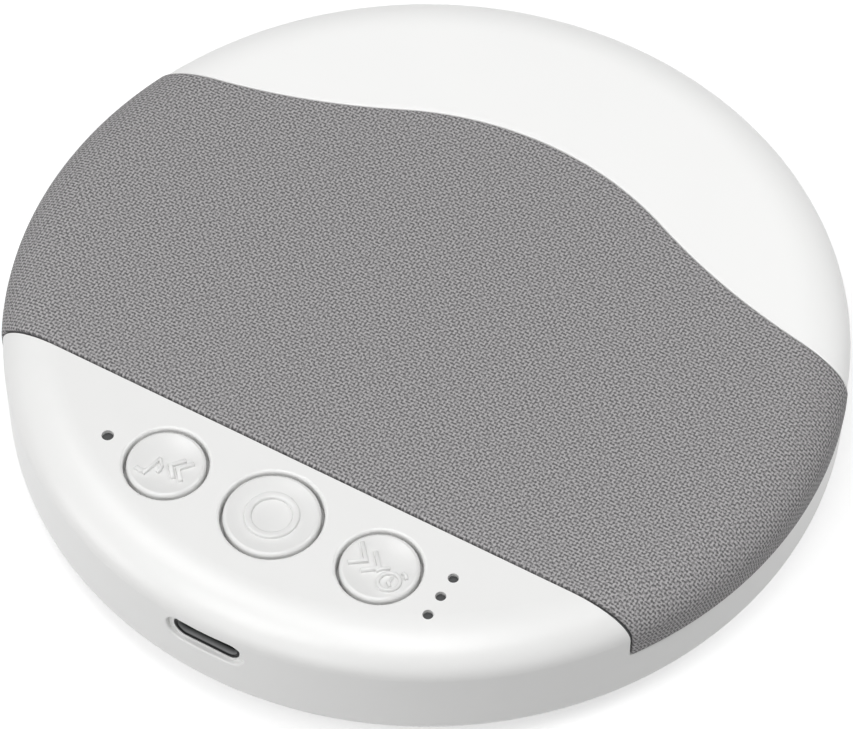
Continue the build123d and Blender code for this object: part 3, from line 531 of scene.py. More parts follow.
@dataclass(frozen=True)
class WovenCloth(Finish):
    """Plain weave of heather yarn, one over and one under.

    Attributes:
        warp_pitch: spacing of the threads that run along y.
        weft_pitch: spacing of the threads that run along x.
        gap_and_shade_colour: sRGB hex colour between the threads, also painted as shade on their low parts.
        thread_height: how far a crossing stands over the gaps.
        row_share: share of the weft threads' roundness in the height.
        column_share: share of the warp threads' roundness. The rest is the dive.
        wander: how far the threads stray from their lines, in turns of their wave.
        wander_size: length of that straying, in threads.
        heather: spread of the yarn's own light and dark.
        heather_size: number of its specks in a thread's width.
        light_from: height from which a thread shows its full colour; below it the colour darkens
            towards the gap colour as painted shade.
        relief_share: how strongly the height turns the surface.
        sheen: weight of the yarn's soft shine.
        mapped: whether the pattern follows the piece's thread map.
    """

    warp_pitch: float = 0.451
    weft_pitch: float = 0.433
    gap_and_shade_colour: str = "#5D5C5D"
    thread_height: float = 0.12
    row_share: float = 0.43
    column_share: float = 0.35
    wander: float = 1.0
    wander_size: float = 7.0
    heather: float = 2.4
    heather_size: float = 1.7
    light_from: float = 0.8
    relief_share: float = 0.35
    sheen: float = 0.15
    mapped: bool = True

    def shade(self, tree: bpy.types.NodeTree, shader: bpy.types.Node) -> None:
        """Links the weave's height to the colour, as painted shade in the gaps and where the threads
        dive, and to the bump.

        With u and v counted in threads, the height is a share of sin(pi v) squared for the
        weft's round threads, a share of sin(pi u) squared for the warp's, and the rest times
        sin(pi u) cos(pi v), which makes each warp thread dive under every second weft thread.

        Args:
            tree: the material's node tree.
            shader: the surface shader.
        """
        place = add_node(tree, "ShaderNodeTexCoord")
        source = place.outputs["UV"] if self.mapped else place.outputs["Object"]
        unit = 1.0 if self.mapped else 1 / MM
        wander = add_node(tree, "ShaderNodeTexNoise", inputs={
            "Vector": source, "Scale": unit / (self.wander_size * self.warp_pitch), "Detail": 2.0,
        })
        axes = add_node(tree, "ShaderNodeSeparateXYZ", inputs={"Vector": source})
        threads = Arithmetic(tree)
        bend = threads.run("MULTIPLY_ADD", wander.outputs["Fac"], self.wander, -self.wander / 2)
        warp_wave = threads.run("SINE", threads.run(
            "MULTIPLY_ADD", axes.outputs["X"], math.pi * unit / self.warp_pitch, bend))
        weft_turn = threads.run(
            "MULTIPLY_ADD", axes.outputs["Y"], math.pi * unit / self.weft_pitch, bend)
        weft_wave = threads.run("SINE", weft_turn)
        dive = threads.run("MULTIPLY", warp_wave, threads.run("COSINE", weft_turn))
        rows = threads.run("MULTIPLY", weft_wave, weft_wave)
        columns = threads.run("MULTIPLY", warp_wave, warp_wave)
        height = threads.run("MULTIPLY", rows, self.row_share)
        height = threads.run("MULTIPLY_ADD", columns, self.column_share, height)
        height = threads.run("MULTIPLY_ADD", dive, 1 - self.row_share - self.column_share, height)
        # heather: each short length of yarn is a little lighter or darker
        heather = add_node(tree, "ShaderNodeTexNoise", inputs={
            "Vector": source, "Scale": self.heather_size * unit / self.warp_pitch,
            "Detail": 2.0, "Roughness": 0.7,
        })
        speck = threads.run(
            "MULTIPLY_ADD", heather.outputs["Fac"], self.heather, -self.heather / 2)
        # low parts of the weave take the gap colour: painted shade in the gaps and where the threads dive
        ramp = add_node(tree, "ShaderNodeMapRange", inputs={
            "Value": threads.run("ADD", height, speck), "From Max": self.light_from,
        })
        colour = add_node(tree, "ShaderNodeMix", {"data_type": "RGBA"}, {
            "Factor": ramp.outputs["Result"],
            "A": linear(self.gap_and_shade_colour), "B": linear(self.colour),
        })
        bump = add_node(tree, "ShaderNodeBump", inputs={
            "Height": height, "Distance": self.thread_height * MM, "Strength": self.relief_share,
        })
        tree.links.new(colour.outputs["Result"], shader.inputs["Base Color"])
        tree.links.new(bump.outputs["Normal"], shader.inputs["Normal"])
        shader.inputs["Roughness"].default_value = self.roughness
        shader.inputs["Sheen Weight"].default_value = self.sheen


FINISHES = {
    # ABS moulded in a fine spark-eroded tool: satin white, soft wide highlights
    Slot.CASE: Finish(
        "abs_satin_white_moulded", "#EEEEED", "#ECECEB", 0.3, grain=0.12, relief=0.0008),
    # unpainted ABS from a plain tool: a little duller and greyer than the outside
    Slot.INNER: Finish("abs_plain_white_moulded", "#E8E8E6", "#E4E4E2", 0.5, grain=0.2),
    # grey ABS behind the cloth, so that the holes don't show through
    Slot.FRAME: Finish("abs_grey_moulded", "#545456", "#505052", 0.5, grain=0.2),
    # opal polycarbonate: smoother and whiter than the case, with a tighter highlight
    Slot.LIGHT: Finish("polycarbonate_opal_moulded", "#FBFBFA", "#F9F9F8", 0.3, relief=0.0004),
    # clear acrylic light pipes: smooth, coloured dark grey as painted shade down their narrow holes
    Slot.CLEAR: Finish(
        "acrylic_clear_painted_shade", "#454647", "#3E3F40", 0.15, grain=0.4, relief=0.0004),
    # glass-filled nylon: black and slightly streaky
    Slot.DARK: Finish("nylon_black_moulded", "#222224", "#1B1B1C", 0.45, grain=0.15),
    # polyester film round the cell: silver grey, faintly wrinkled
    Slot.CELL: Finish(
        "polyester_film_silver", "#B4B7BC", "#A8ABB0", 0.32, grain=2.5, relief=0.03, metallic=0.5),
    # solder mask over woven glass laminate
    Slot.BOARD: Finish(
        "glass_epoxy_green_masked", "#1B5A38", "#17502F", 0.35, grain=0.5, coat=0.3),
    # silicone over phosphor on white ceramic
    Slot.LAMP: Finish("phosphor_silicone_moulded", "#F2E3A4", "#EAD78E", 0.25),
    # pressed black paper pulp: matt, fibrous
    Slot.PAPER: Finish(
        "paper_pulp_black_pressed", "#26262A", "#1D1D20", 0.85,
        grain=0.35, relief=0.03, specular=0.3),
    # phenolic-dipped cotton: open weave, amber
    Slot.SPIDER: WovenCloth(
        "cotton_resin_dipped", "#C7A056", "#B58F49", 0.7, gap_and_shade_colour="#6A4E22", mapped=False),
    # moulded silicone: matt grey
    Slot.RUBBER: Finish(
        "silicone_grey_moulded", "#57585A", "#4F5052", 0.75,
        grain=0.25, relief=0.004, specular=0.35),
    # cut closed-cell foam: matt, pitted
    Slot.FOAM: Finish(
        "polyurethane_foam_cut", "#262627", "#1C1C1D", 0.9, grain=0.4, relief=0.06, specular=0.2),
    # foam tape with a fine open cell
    Slot.TAPE: Finish("acrylic_foam_tape", "#47484A", "#3D3E40", 0.85, relief=0.03, specular=0.25),
    # extruded insulation: red, slightly waxy
    Slot.WIRE: Finish("pvc_red_extruded", "#9C2A26", "#8E2420", 0.4, grain=0.6),
    # zinc-plated steel, drawn and lightly brushed
    Slot.STEEL: BrushedMetal(
        "steel_zinc_plated", "#B9BCC0", "#A6A9AD", 0.3, grain=0.12, metallic=1.0),
    # sintered magnet under nickel: grainy grey metal
    Slot.MAGNET: Finish(
        "neodymium_nickel_plated", "#8D8F92", "#7D7F82", 0.35, grain=0.2, metallic=1.0),
    # deep-drawn shell under nickel: painted shade at the lip, a mid-grey band inside and painted shade
    # behind it
    Slot.SHELL: PortShell(
        "steel_nickel_plated_painted_shade", "#C4C5C6", "#B4B5B6", 0.6, grain=0.1, metallic=0.5),
    # enamelled copper wire on a paper tube; the port's gilt strips take it too
    Slot.COPPER: BrushedMetal(
        "copper_enamelled_wound", "#C4743C", "#A95F2E", 0.3, grain=0.15, metallic=1.0),
    # polyester heather yarn in a plain weave: light thread tops, painted shade in the gaps and where the
    # threads dive
    Slot.CLOTH: WovenCloth("polyester_heather_woven", "#B8B6B7", "#A2A0A1", 0.9, specular=0.2),
}

# the same ABS from a polished tool: the buttons are smoother than the case, and a shade greyer as painted
# shade on their dishes
BUTTON_FINISH = Finish(
    "abs_white_polished_tool", "#E7E7E6", "#E5E5E4", 0.25, grain=0.12, relief=0.0004)


def dress(piece: bpy.types.Object, finish: Finish) -> None:
    """Gives a piece a finish.

    Args:
        piece: the piece or carried-over CAD node.
        finish: the finish that it takes.
    """
    material = finish.material()
    if not piece.material_slots:
        piece.data.materials.append(material)
    for place in piece.material_slots:
        place.link = "OBJECT"
        place.material = material


# ------------------------------------------------------------------ cloth grille


@dataclass
class GrilleCloth:
    """Cloth stretched over the grille frame, from the deck's seam to the wave edge.

    The cloth is a patch with four sides in the flat, where a point keeps its direction from
    the centre and its distance over the crown: front seam, wave edge and two skirt arcs.

    Attributes:
        form: the body that it is stretched over.
        front_y: y of its front seam.
        skirt_z: height of its lower edge.
        thickness: thickness of the cloth.
        proud: how far it stands out of the crown.
        wave_shift: how far it is set back from the wave edge's line.
        edge_round: radius of its rolled edge.
        edge_steps: distances from the edge of the grid's first rows.
        columns, rows: even steps of the grid between those rows.
        samples: points of each seam's curve.
    """

    form: BodyForm
    front_y: float = -28.2
    skirt_z: float = 11.85
    thickness: float = 0.6
    proud: float = 0.2
    wave_shift: float = -0.02
    edge_round: float = 0.4
    edge_steps: tuple[float, ...] = (0.0, 0.03, 0.09, 0.2, 0.4)
    columns: int = 230
    rows: int = 120
    samples: int = 2401

    def skirt_length(self) -> float:
        """Distance over the crown from the centre to the cloth's lower edge."""
        place, length, _ = self.form.lengths(-self.proud)
        return float(np.interp(self.form.wall_place(self.skirt_z), place, length))

    def flatten(self, plan: np.ndarray) -> np.ndarray:
        """Lays plan points flat: same direction, distance measured over the crown.

        Args:
            plan: x and y of each point, seen from above.

        Returns:
            The flat points.
        """
        _, length, across = self.form.lengths(-self.proud)
        radius = np.hypot(*plan.T)
        return plan * (np.interp(radius, across[:-2], length[:-2]) / radius)[:, None]

    def edge(self, curve: Callable[[np.ndarray], np.ndarray]) -> np.ndarray:
        """One long edge in the flat, from the left skirt to the right one.

        Args:
            curve: function that gives y for an array of x.

        Returns:
            Points of the edge, with a straight run down the skirt at each end.
        """
        reach = self.form.radius + self.proud
        across = reach * np.sin(np.linspace(-math.pi / 2, math.pi / 2, self.samples))
        plan = np.stack([across, curve(across)], axis=-1)
        plan = plan[np.hypot(*plan.T) < reach]
        ends = plan[[0, -1]]
        ends = ends / np.hypot(*ends.T)[:, None] * self.skirt_length()
        return np.concatenate([ends[:1], self.flatten(plan), ends[1:]])

    def places(self, count: int, span: float) -> np.ndarray:
        """Shares from 0 to 1 that are even, with fine steps for the rolled edge at both ends.

        Args:
            count: number of even shares, with the last fine one at each end.
            span: length that the shares divide.

        Returns:
            The shares.
        """
        near = np.array(self.edge_steps) / span
        middle = np.linspace(near[-1], 1 - near[-1], count)[1:-1]
        return np.concatenate([near, middle, 1 - near[::-1]])

    def patch(self) -> np.ndarray:
        """Fills the four sides with a grid of flat points.

        A point is the blend of the two seams by v, plus the blend of the two skirt arcs by u,
        less the blend of the four corners by both.

        Returns:
            The flat points, one row for each step from the front seam to the wave edge.
        """
        front = self.edge(lambda across: np.full_like(across, self.front_y))
        wave = self.edge(lambda across: self.form.wave(across, self.wave_shift))
        reach = self.skirt_length()
        u = self.places(self.columns, 2 * reach)
        v = self.places(self.rows, reach)
        bottom, top = resample(front, u), resample(wave, u)
        sides = []
        for end in (0, -1):
            start, stop = np.unwrap([math.atan2(*line[end][::-1]) for line in (front, wave)])
            angle = start + (stop - start) * v
            sides.append(reach * np.stack([np.cos(angle), np.sin(angle)], axis=-1))
        left, right = sides
        u, v = u[None, :, None], v[:, None, None]
        below, above = ((1 - u) * line[0] + u * line[-1] for line in (bottom, top))
        corners = (1 - v) * below + v * above
        return (1 - v) * bottom + v * top + (1 - u) * left[:, None] + u * right[:, None] - corners

    def edge_depth(self, flat: np.ndarray) -> np.ndarray:
        """How far the cloth's face drops near its edge: a quarter circle of edge_round.

        Args:
            flat: the grid of flat points.

        Returns:
            The drop of each point.
        """
        distance = np.full(flat.shape[:2], np.inf)
        for border in (flat[:1], flat[-1:], flat[:, :1], flat[:, -1:]):
            distance = np.minimum(distance, np.hypot(*np.moveaxis(flat - border, -1, 0)))
        short = np.clip(self.edge_round - distance, 0, self.edge_round)
        return self.edge_round - np.sqrt(self.edge_round**2 - short**2)

    def fold(self, flat: np.ndarray, inset: np.ndarray | float) -> np.ndarray:
        """Folds flat points over the crown: same direction, distance taken as its length.

        Args:
            flat: the flat points.
            inset: how far each is drawn in.

        Returns:
            Their x, y and z.
        """
        place, length, _ = self.form.lengths(-self.proud)
        distance = np.hypot(*np.moveaxis(flat, -1, 0))
        across, height = self.form.profile(np.interp(distance, length, place), inset)
        plan = np.moveaxis(flat / distance[..., None], -1, 0) * across
        return np.stack([*plan, height], axis=-1)

    def build(self) -> bpy.types.Object:
        """Makes the cloth, rides it on the case and dresses it.

        Returns:
            The cloth's object.
        """
        flat = self.patch()
        rows, columns = flat.shape[:2]
        upper = self.fold(flat, self.edge_depth(flat) - self.proud).reshape(-1, 3)
        under = self.fold(flat, self.thickness - self.proud).reshape(-1, 3)
        number = np.arange(rows * columns).reshape(rows, columns)
        rim = np.concatenate([
            number[0, :-1], number[:-1, -1], number[-1, :0:-1], number[:0:-1, 0],
        ])
        after = np.roll(rim, -1)
        sides = np.stack([rim + rows * columns, after + rows * columns, after, rim], axis=-1)
        faces = np.concatenate([
            grid_faces(rows, columns),
            grid_faces(rows, columns, rows * columns, flip=True),
            sides,
        ])
        flat = flat.reshape(-1, 2)
        points, uv = np.concatenate([upper, under]), np.tile(flat, (2, 1))
        cloth = make_mesh("woven_grille_cloth", points, faces, uv)
        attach(cloth, "case")
        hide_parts("grille_cloth")
        dress(cloth, FINISHES[Slot.CLOTH])
        return cloth


# ------------------------------------------------------------------ night light


@dataclass
class NightLightCover:
    """Opal cover from the wave edge over the crown to the case's rim, as a closed shell.

    Each ray from the body's axis cuts the cover in a closed section, worked out for all the
    rays at once: seam round, face, crown, wall, lower round, lower edge, inside and seam face.

    Attributes:
        form: the body that it closes.
        skirt_z: height of its lower edge.
        wall: thickness of the cover.
        wave_shift: how far it is set back from the wave edge's line.
        seam_round, foot_round: radii along the seam and the lower edge.
        rays: number of sections.
        tip_share: how strongly the rays crowd towards the two tips.
        face_steps, crown_steps, wall_steps, round_steps: points along each stretch.
        samples: points of the wave edge's curve.
    """

    form: BodyForm
    skirt_z: float = 11.7
    wall: float = 2.0
    wave_shift: float = 0.1
    seam_round: float = 0.25
    foot_round: float = 0.15
    rays: int = 300
    tip_share: float = 0.4
    face_steps: int = 24
    crown_steps: int = 20
    wall_steps: int = 3
    round_steps: int = 5
    samples: int = 6001

    def wave_radius(self, angle: np.ndarray) -> np.ndarray:
        """Distance from the axis to the wave edge, read off the edge's curve by direction.

        Args:
            angle: direction of each ray.

        Returns:
            The distance along each ray.
        """
        across = np.linspace(self.form.radius, -self.form.radius, self.samples)
        behind = self.form.wave(across, self.wave_shift)
        return np.interp(angle, np.arctan2(behind, across), np.hypot(across, behind))

    def ray_angles(self) -> np.ndarray:
        """Angles of the rays: even steps blended with a sine, which crowds them at the tips.

        Returns:
            One angle for each ray, from the right tip round the back to the left one.
        """
        across = np.linspace(0, self.form.radius, self.samples)
        behind = self.form.wave(across, self.wave_shift)
        away, turn = np.hypot(across, behind), np.arctan2(behind, across)
        tip = float(np.interp(self.form.radius, away, turn))
        share = np.linspace(-1, 1, self.rays)
        spread = np.sin(share * math.pi / 2) * self.tip_share + share * (1 - self.tip_share)
        return math.pi / 2 + (math.pi / 2 - tip) * spread

    def outer_path(self, start: np.ndarray) -> tuple[np.ndarray, np.ndarray]:
        """Parameter and inset of the outer face, one row for each ray.

        Args:
            start: distance over the crown from the axis to the seam, for each ray.

        Returns:
            The profile's parameter and the inset at each point.
        """
        place, length, _ = self.form.lengths(0)
        low = self.form.wall_place(self.skirt_z)
        flat_end, wall_start, end = np.interp([1, 2, low], place, length)
        turn = np.linspace(math.pi / 2, 0, self.round_steps)[None, :]
        start = np.minimum(start, end - 2 * self.foot_round)[:, None]
        seam = start + self.seam_round * (1 - np.sin(turn))
        seam_inset = np.broadcast_to(self.seam_round * (1 - np.cos(turn)), seam.shape)
        begin = start + self.seam_round
        split, lower = np.maximum(flat_end, begin), np.maximum(wall_start, begin)
        face = onwards(begin, split, self.face_steps)
        crown = onwards(split, lower, self.crown_steps)
        upright = onwards(lower, end - self.foot_round, self.wall_steps)
        turn = turn[:, ::-1]
        foot = np.broadcast_to(end - self.foot_round * (1 - np.sin(turn)), seam.shape)
        foot_inset = np.broadcast_to(self.foot_round * (1 - np.cos(turn)), seam.shape)
        along = np.concatenate([seam, face, crown, upright, foot[:, 1:]], axis=1)
        plain = np.zeros((len(start), face.shape[1] + crown.shape[1] + upright.shape[1]))
        inset = np.concatenate([seam_inset, plain, foot_inset[:, 1:]], axis=1)
        return np.interp(along, length, place), inset

    def inner_path(self, radius: np.ndarray) -> np.ndarray:
        """Parameter of the inside, in even steps from the lower edge back to the seam.

        Args:
            radius: distance from the axis to the seam, for each ray.

        Returns:
            The profile's parameter at each point, one row for each ray.
        """
        place, _, across = self.form.lengths(self.wall)
        low = self.form.wall_place(self.skirt_z)
        inside = self.form.radius - self.wall
        stop = np.where(radius < inside, np.interp(radius, across[:-2], place[:-2]), low)
        return low + (stop[:, None] - low) * np.linspace(0, 1, self.face_steps + self.crown_steps)

    def build(self) -> bpy.types.Object:
        """Makes the cover, rides it on the case and dresses it.

        Returns:
            The cover's object.
        """
        angle = self.ray_angles()
        radius = self.wave_radius(angle)
        _, length, across = self.form.lengths(0)
        start = np.interp(radius, across[:-2], length[:-2])
        outer, inset = self.outer_path(start)
        outer_r, outer_z = self.form.profile(outer, inset)
        inner_r, inner_z = self.form.profile(self.inner_path(radius), self.wall)
        section_r = np.maximum(np.concatenate([outer_r, inner_r], axis=1), radius[:, None])
        section_r = np.minimum(section_r, self.form.radius)
        section_z = np.concatenate([outer_z, inner_z], axis=1)
        points = np.stack([
            section_r * np.cos(angle)[:, None], section_r * np.sin(angle)[:, None], section_z,
        ], axis=-1)
        rays, count = section_r.shape
        faces = grid_faces(rays, count, closed=True, flip=True)
        cover = make_mesh("night_light_cover", points.reshape(-1, 3), faces)
        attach(cover, "case")
        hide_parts("light_cover")
        dress(cover, FINISHES[Slot.LIGHT])
        LOG.info("night-light cover, %d rays of %d points", rays, count)
        return cover


# ------------------------------------------------------------------ raised button icons


@dataclass(frozen=True)
class ButtonFace:
    """Round button with a shallow dish, and the unit of its icon's drawing.

    Attributes:
        name: the button's side; not used.
        centre: x and y of its axis.
        cap_radius: radius of the cap.
        rim: height of the rim.
        unit: length of the drawing's unit.
        dish: depth of the dish.
        lip: width of the rim round the dish.
    """

    name: str
    centre: tuple[float, float]
    cap_radius: float
    rim: float
    unit: float
    dish: float = 0.5
    lip: float = 0.5

    def height(self, across: np.ndarray, along: np.ndarray) -> np.ndarray:
        """Height of the dish, part of a sphere that is lowest at the middle.

        Args:
            across, along: x and y from the button's axis.

        Returns:
            z of each point.
        """
        reach = self.cap_radius - self.lip
        ball = (reach**2 + self.dish**2) / (2 * self.dish)
        return self.rim - self.dish + ball - np.sqrt(ball**2 - across**2 - along**2)


@dataclass
class RaisedIcon:
    """Icon of rounded ridges that stand on a button's dish.

    Attributes:
        face: the button that it stands on.
        strokes: each line's ridge width in millimetres, and its points in the drawing's units.
        loops: closed rings, each with its centre, radius and ridge width in those units.
        height: height of a ridge.
        sink: how deep the ridges' feet reach into the cap.
        end_round: length of the rounding at a line's ends.
        end_share: height of a line's very end, as a share of the ridge's.
        mitre: least share of the width that a sharp corner's offset is worked out with.
        ring_steps: points round a ring.
        crown: a ridge's section, as shares of its width and height.
    """

    face: ButtonFace
    strokes: list[tuple[float, list[tuple[float, float]]]] = field(default_factory=list)
    loops: list[tuple[tuple[float, float], float, float]] = field(default_factory=list)
    height: float = 0.45
    sink: float = 0.1
    end_round: float = 0.1
    end_share: float = 0.7
    mitre: float = 0.5
    ring_steps: int = 72
    crown: tuple[tuple[float, float], ...] = (
        (-0.5, -1.0), (-0.5, 0.0), (-0.47, 0.6), (-0.39, 0.9), (-0.26, 1.0),
        (0.26, 1.0), (0.39, 0.9), (0.47, 0.6), (0.5, 0.0), (0.5, -1.0),
    )

    def with_ends(self, path: np.ndarray) -> np.ndarray:
        """Adds a point close to each end of a path, which keeps the end's shading short.

        Args:
            path: points of the middle line.

        Returns:
            The path with two more points.
        """
        near = []
        for end, inner in ((path[0], path[1]), (path[-1], path[-2])):
            away = inner - end
            near.append(end + away / np.linalg.norm(away) * self.end_round)
        return np.concatenate([path[:1], [near[0]], path[1:-1], [near[1]], path[-1:]])

    def ridge(self, path: np.ndarray, width: float, closed: bool) -> tuple[np.ndarray, np.ndarray]:
        """Carries the ridge's profile along a path on the dish.

        The profile is offset sideways along the path's mitre, and lifted from the dish.

        Args:
            path: points of the middle line, from the button's axis.
            width: width of the ridge.
            closed: whether the path is a ring.

        Returns:
            The points and the faces of a closed ridge.
        """
        if closed:
            before, after = np.roll(path, 1, axis=0), np.roll(path, -1, axis=0)
        else:
            before = np.concatenate([2 * path[:1] - path[1:2], path[:-1]])
            after = np.concatenate([path[1:], 2 * path[-1:] - path[-2:-1]])
        into = (path - before) / np.linalg.norm(path - before, axis=1, keepdims=True)
        out = (after - path) / np.linalg.norm(after - path, axis=1, keepdims=True)
        mean = into + out
        mean /= np.linalg.norm(mean, axis=1, keepdims=True)
        side = np.stack([-mean[:, 1], mean[:, 0]], axis=-1)
        stretch = 1 / np.clip(np.sum(mean * out, axis=1), self.mitre, None)
        crown = np.array(self.crown)
        offset = crown[None, :, 0] * width * stretch[:, None]
        spot = path[:, None, :] + side[:, None, :] * offset[..., None]
        share = np.ones((len(path), 1))
        if not closed:
            share[[0, -1]] = self.end_share
        rise = np.where(crown[:, 1] < 0, -self.sink, crown[:, 1] * self.height * share)
        height = self.face.height(spot[..., 0], spot[..., 1]) + rise
        points = np.concatenate([spot + np.array(self.face.centre), height[..., None]], axis=-1)
        rows, columns = points.shape[:2]
        if closed:
            points = np.concatenate([points, points[:1]])
            rows += 1
        faces = [grid_faces(rows, columns, closed=True, flip=True)]
        if not closed:
            left = np.arange(columns // 2 - 1)
            right = columns - 1 - left
            cap = np.stack([left, left + 1, right - 1, right], axis=-1)
            faces += [cap, cap[:, ::-1] + (rows - 1) * columns]
        return points.reshape(-1, 3), np.concatenate(faces)

    def build(self, name: str, body: str) -> bpy.types.Object:
        """Makes the icon, rides it on its button and dresses it.

        Args:
            name: the piece's name.
            body: the body that it moves with.

        Returns:
            The icon's object.
        """
        unit = self.face.unit
        turn = np.linspace(0, 2 * math.pi, self.ring_steps, endpoint=False)
        circle = np.stack([np.cos(turn), np.sin(turn)], axis=-1)
        parts = [
            self.ridge(self.with_ends(np.array(stroke) * unit), width, False)
            for width, stroke in self.strokes
        ] + [
            self.ridge((np.array(centre) + circle * radius) * unit, width * unit, True)
            for centre, radius, width in self.loops
        ]
        starts = np.cumsum([0] + [len(points) for points, _ in parts[:-1]])
        points = np.concatenate([points for points, _ in parts])
        faces = np.concatenate([faces + start for (_, faces), start in zip(parts, starts)])
        icon = make_mesh(name, points, faces)
        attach(icon, body)
        dress(icon, BUTTON_FINISH)
        LOG.info("icon %s, %d ridges", name, len(parts))
        return icon


@dataclass
class Controls:
    """The three buttons' raised icons.

    Attributes:
        pitch: distance between two buttons' axes.
        row_y: y of the row.
        side_radius, middle_radius: radii of the caps.
        gap: gap between a cap and its hole.
        rim: height of the caps' rims.
    """

    pitch: float = 14.85
    row_y: float = -36.6
    side_radius: float = 4.83
    middle_radius: float = 5.9
    gap: float = 0.39
    rim: float = 19.15

    def face(self, name: str, side: int, radius: float) -> ButtonFace:
        """Face of one button, whose drawing's unit is the radius of its hole."""
        centre = (side * self.pitch, self.row_y)
        return ButtonFace(name, centre, radius, self.rim, unit=radius + self.gap)

    def build(self) -> None:
        """Makes the icons for previous and tune, power, and next and timer."""
        RaisedIcon(self.face("left", -1, self.side_radius), strokes=[
            (0.55, [(0.35, 0.31), (0.09, 0.03), (0.35, -0.26)]),
            (0.55, [(0.57, 0.31), (0.29, 0.03), (0.56, -0.26)]),
            (0.4, [(-0.21, 0.10), (-0.25, -0.20), (-0.31, -0.50)]),
            (0.4, [(-0.20, 0.08), (-0.14, 0.0), (-0.06, -0.08), (-0.04, -0.17), (-0.05, -0.29)]),
            (0.6, [(-0.31, -0.42), (-0.42, -0.45), (-0.55, -0.44)]),
        ]).build("previous_tune_icon", "left_button")
        RaisedIcon(self.face("middle", 0, self.middle_radius), loops=[
            ((0.0, 0.0), 0.46, 0.15),
        ]).build("power_ring_icon", "middle_button")
        RaisedIcon(self.face("right", 1, self.side_radius), strokes=[
            (0.55, [(-0.68, 0.37), (-0.36, 0.01), (-0.68, -0.26)]),
            (0.55, [(-0.30, 0.33), (-0.01, 0.0), (-0.33, -0.28)]),
            (0.4, [(-0.03, -0.11), (0.08, 0.02), (0.22, 0.10)]),
            (0.4, [(0.53, 0.12), (0.64, 0.08), (0.70, -0.01)]),
            (0.4, [(0.39, -0.10), (0.38, -0.26), (0.47, -0.35)]),
        ], loops=[
            ((0.385, -0.24), 0.25, 0.085),
        ]).build("next_timer_icon", "right_button")


# ------------------------------------------------------------------ charging port


@dataclass
class PortContacts:
    """Gilt contact strips on both faces of the port's tongue.

    Attributes:
        count: strips on each face.
        pitch: spacing of the strips.
        width, length: size of a strip.
        rise: how far a strip stands over the face, and how deep its foot is in it.
        inset: distance from the tongue's tip to the strips.
        section: a strip's section, as shares of its width and rise.
    """

    count: int = 12
    pitch: float = 0.5
    width: float = 0.25
    length: float = 2.6
    rise: float = 0.02
    inset: float = 0.5
    section: tuple[tuple[float, float], ...] = ((-0.5, -1.0), (-0.4, 1.0), (0.4, 1.0), (0.5, -1.0))

    def build(self) -> bpy.types.Object:
        """Makes the strips, each a low ridge carried along y on the tongue.

        Returns:
            The strips' object.
        """
        low, high = (np.array(corner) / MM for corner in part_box("usb_tongue"))
        across, lift = (np.array(self.section) * (self.width, self.rise)).T
        ends = low[1] + self.inset + np.array([[0], [self.length]])
        parts = [
            np.stack(np.broadcast_arrays(
                (step - (self.count - 1) / 2) * self.pitch + sign * across,
                ends, level + sign * lift,
            ), axis=-1).reshape(-1, 3)
            for step in range(self.count)
            for level, sign in ((high[2], 1), (low[2], -1))
        ]
        sides, caps = grid_faces(2, 4, closed=True, flip=True), [[0, 1, 2, 3], [7, 6, 5, 4]]
        box = np.concatenate([sides, caps])
        faces = np.concatenate([box + 8 * number for number in range(len(parts))])
        strips = make_mesh("port_contacts", np.concatenate(parts), faces)
        facets = strips.data.polygons
        facets.foreach_set("use_smooth", np.zeros(len(facets), dtype=bool))
        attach(strips, "case")
        dress(strips, FINISHES[Slot.COPPER])
        LOG.info("port contacts, %d strips", len(parts))
        return strips


# ------------------------------------------------------------------ speaker's elastic rings


@dataclass
class ElasticRing:
    """Ring of the speaker that bends between the basket and the moving cone.

    Attributes:
        node: the CAD node that it stands for.
        material: its finish.
        fixed_radius: from here outwards it stays with the case.
        moving_radius: from here inwards it follows the cone.
        segments: steps round the axis.
    """

    node: str
    material: Slot
    fixed_radius: float
    moving_radius: float
    segments: int = 180

    def section(self) -> np.ndarray:
        """Radius and height of each point of the ring's section, counter-clockwise."""
        raise NotImplementedError

    def build(self, name: str) -> bpy.types.Object:
        """Turns the section round the axis and bends the ring between the two bodies.

        The bend's weights are laid out by the distance from the axis: with s the share of the
        way from the fixed to the moving radius, the weight is s squared times (3 - 2 s).

        Args:
            name: the piece's name.

        Returns:
            The ring's object.
        """
        turn = np.linspace(0, 2 * math.pi, self.segments + 1)[:, None]
        across, height = self.section().T
        points = np.stack(np.broadcast_arrays(
            np.cos(turn) * across, np.sin(turn) * across, height), axis=-1)
        faces = grid_faces(len(turn), len(height), closed=True, flip=True)
        ring = make_mesh(name, points.reshape(-1, 3), faces)
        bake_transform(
            ring, "case", "cone",
            start=(self.fixed_radius * MM, 0, 0), end=(self.moving_radius * MM, 0, 0),
        )
        place = np.empty(len(ring.data.vertices) * 3)
        ring.data.vertices.foreach_get("co", place)
        radius = np.hypot(*place.reshape(-1, 3)[:, :2].T) / MM
        reach = self.fixed_radius - self.moving_radius
        share = np.clip((self.fixed_radius - radius) / reach, 0, 1)
        weights = ring.data.attributes["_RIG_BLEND"]
        weights.data.foreach_set("value", (share**2 * (3 - 2 * share)).astype(np.float32))
        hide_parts(self.node)
        dress(ring, FINISHES[self.material])
        LOG.info("%s, %d points round", name, len(height))
        return ring


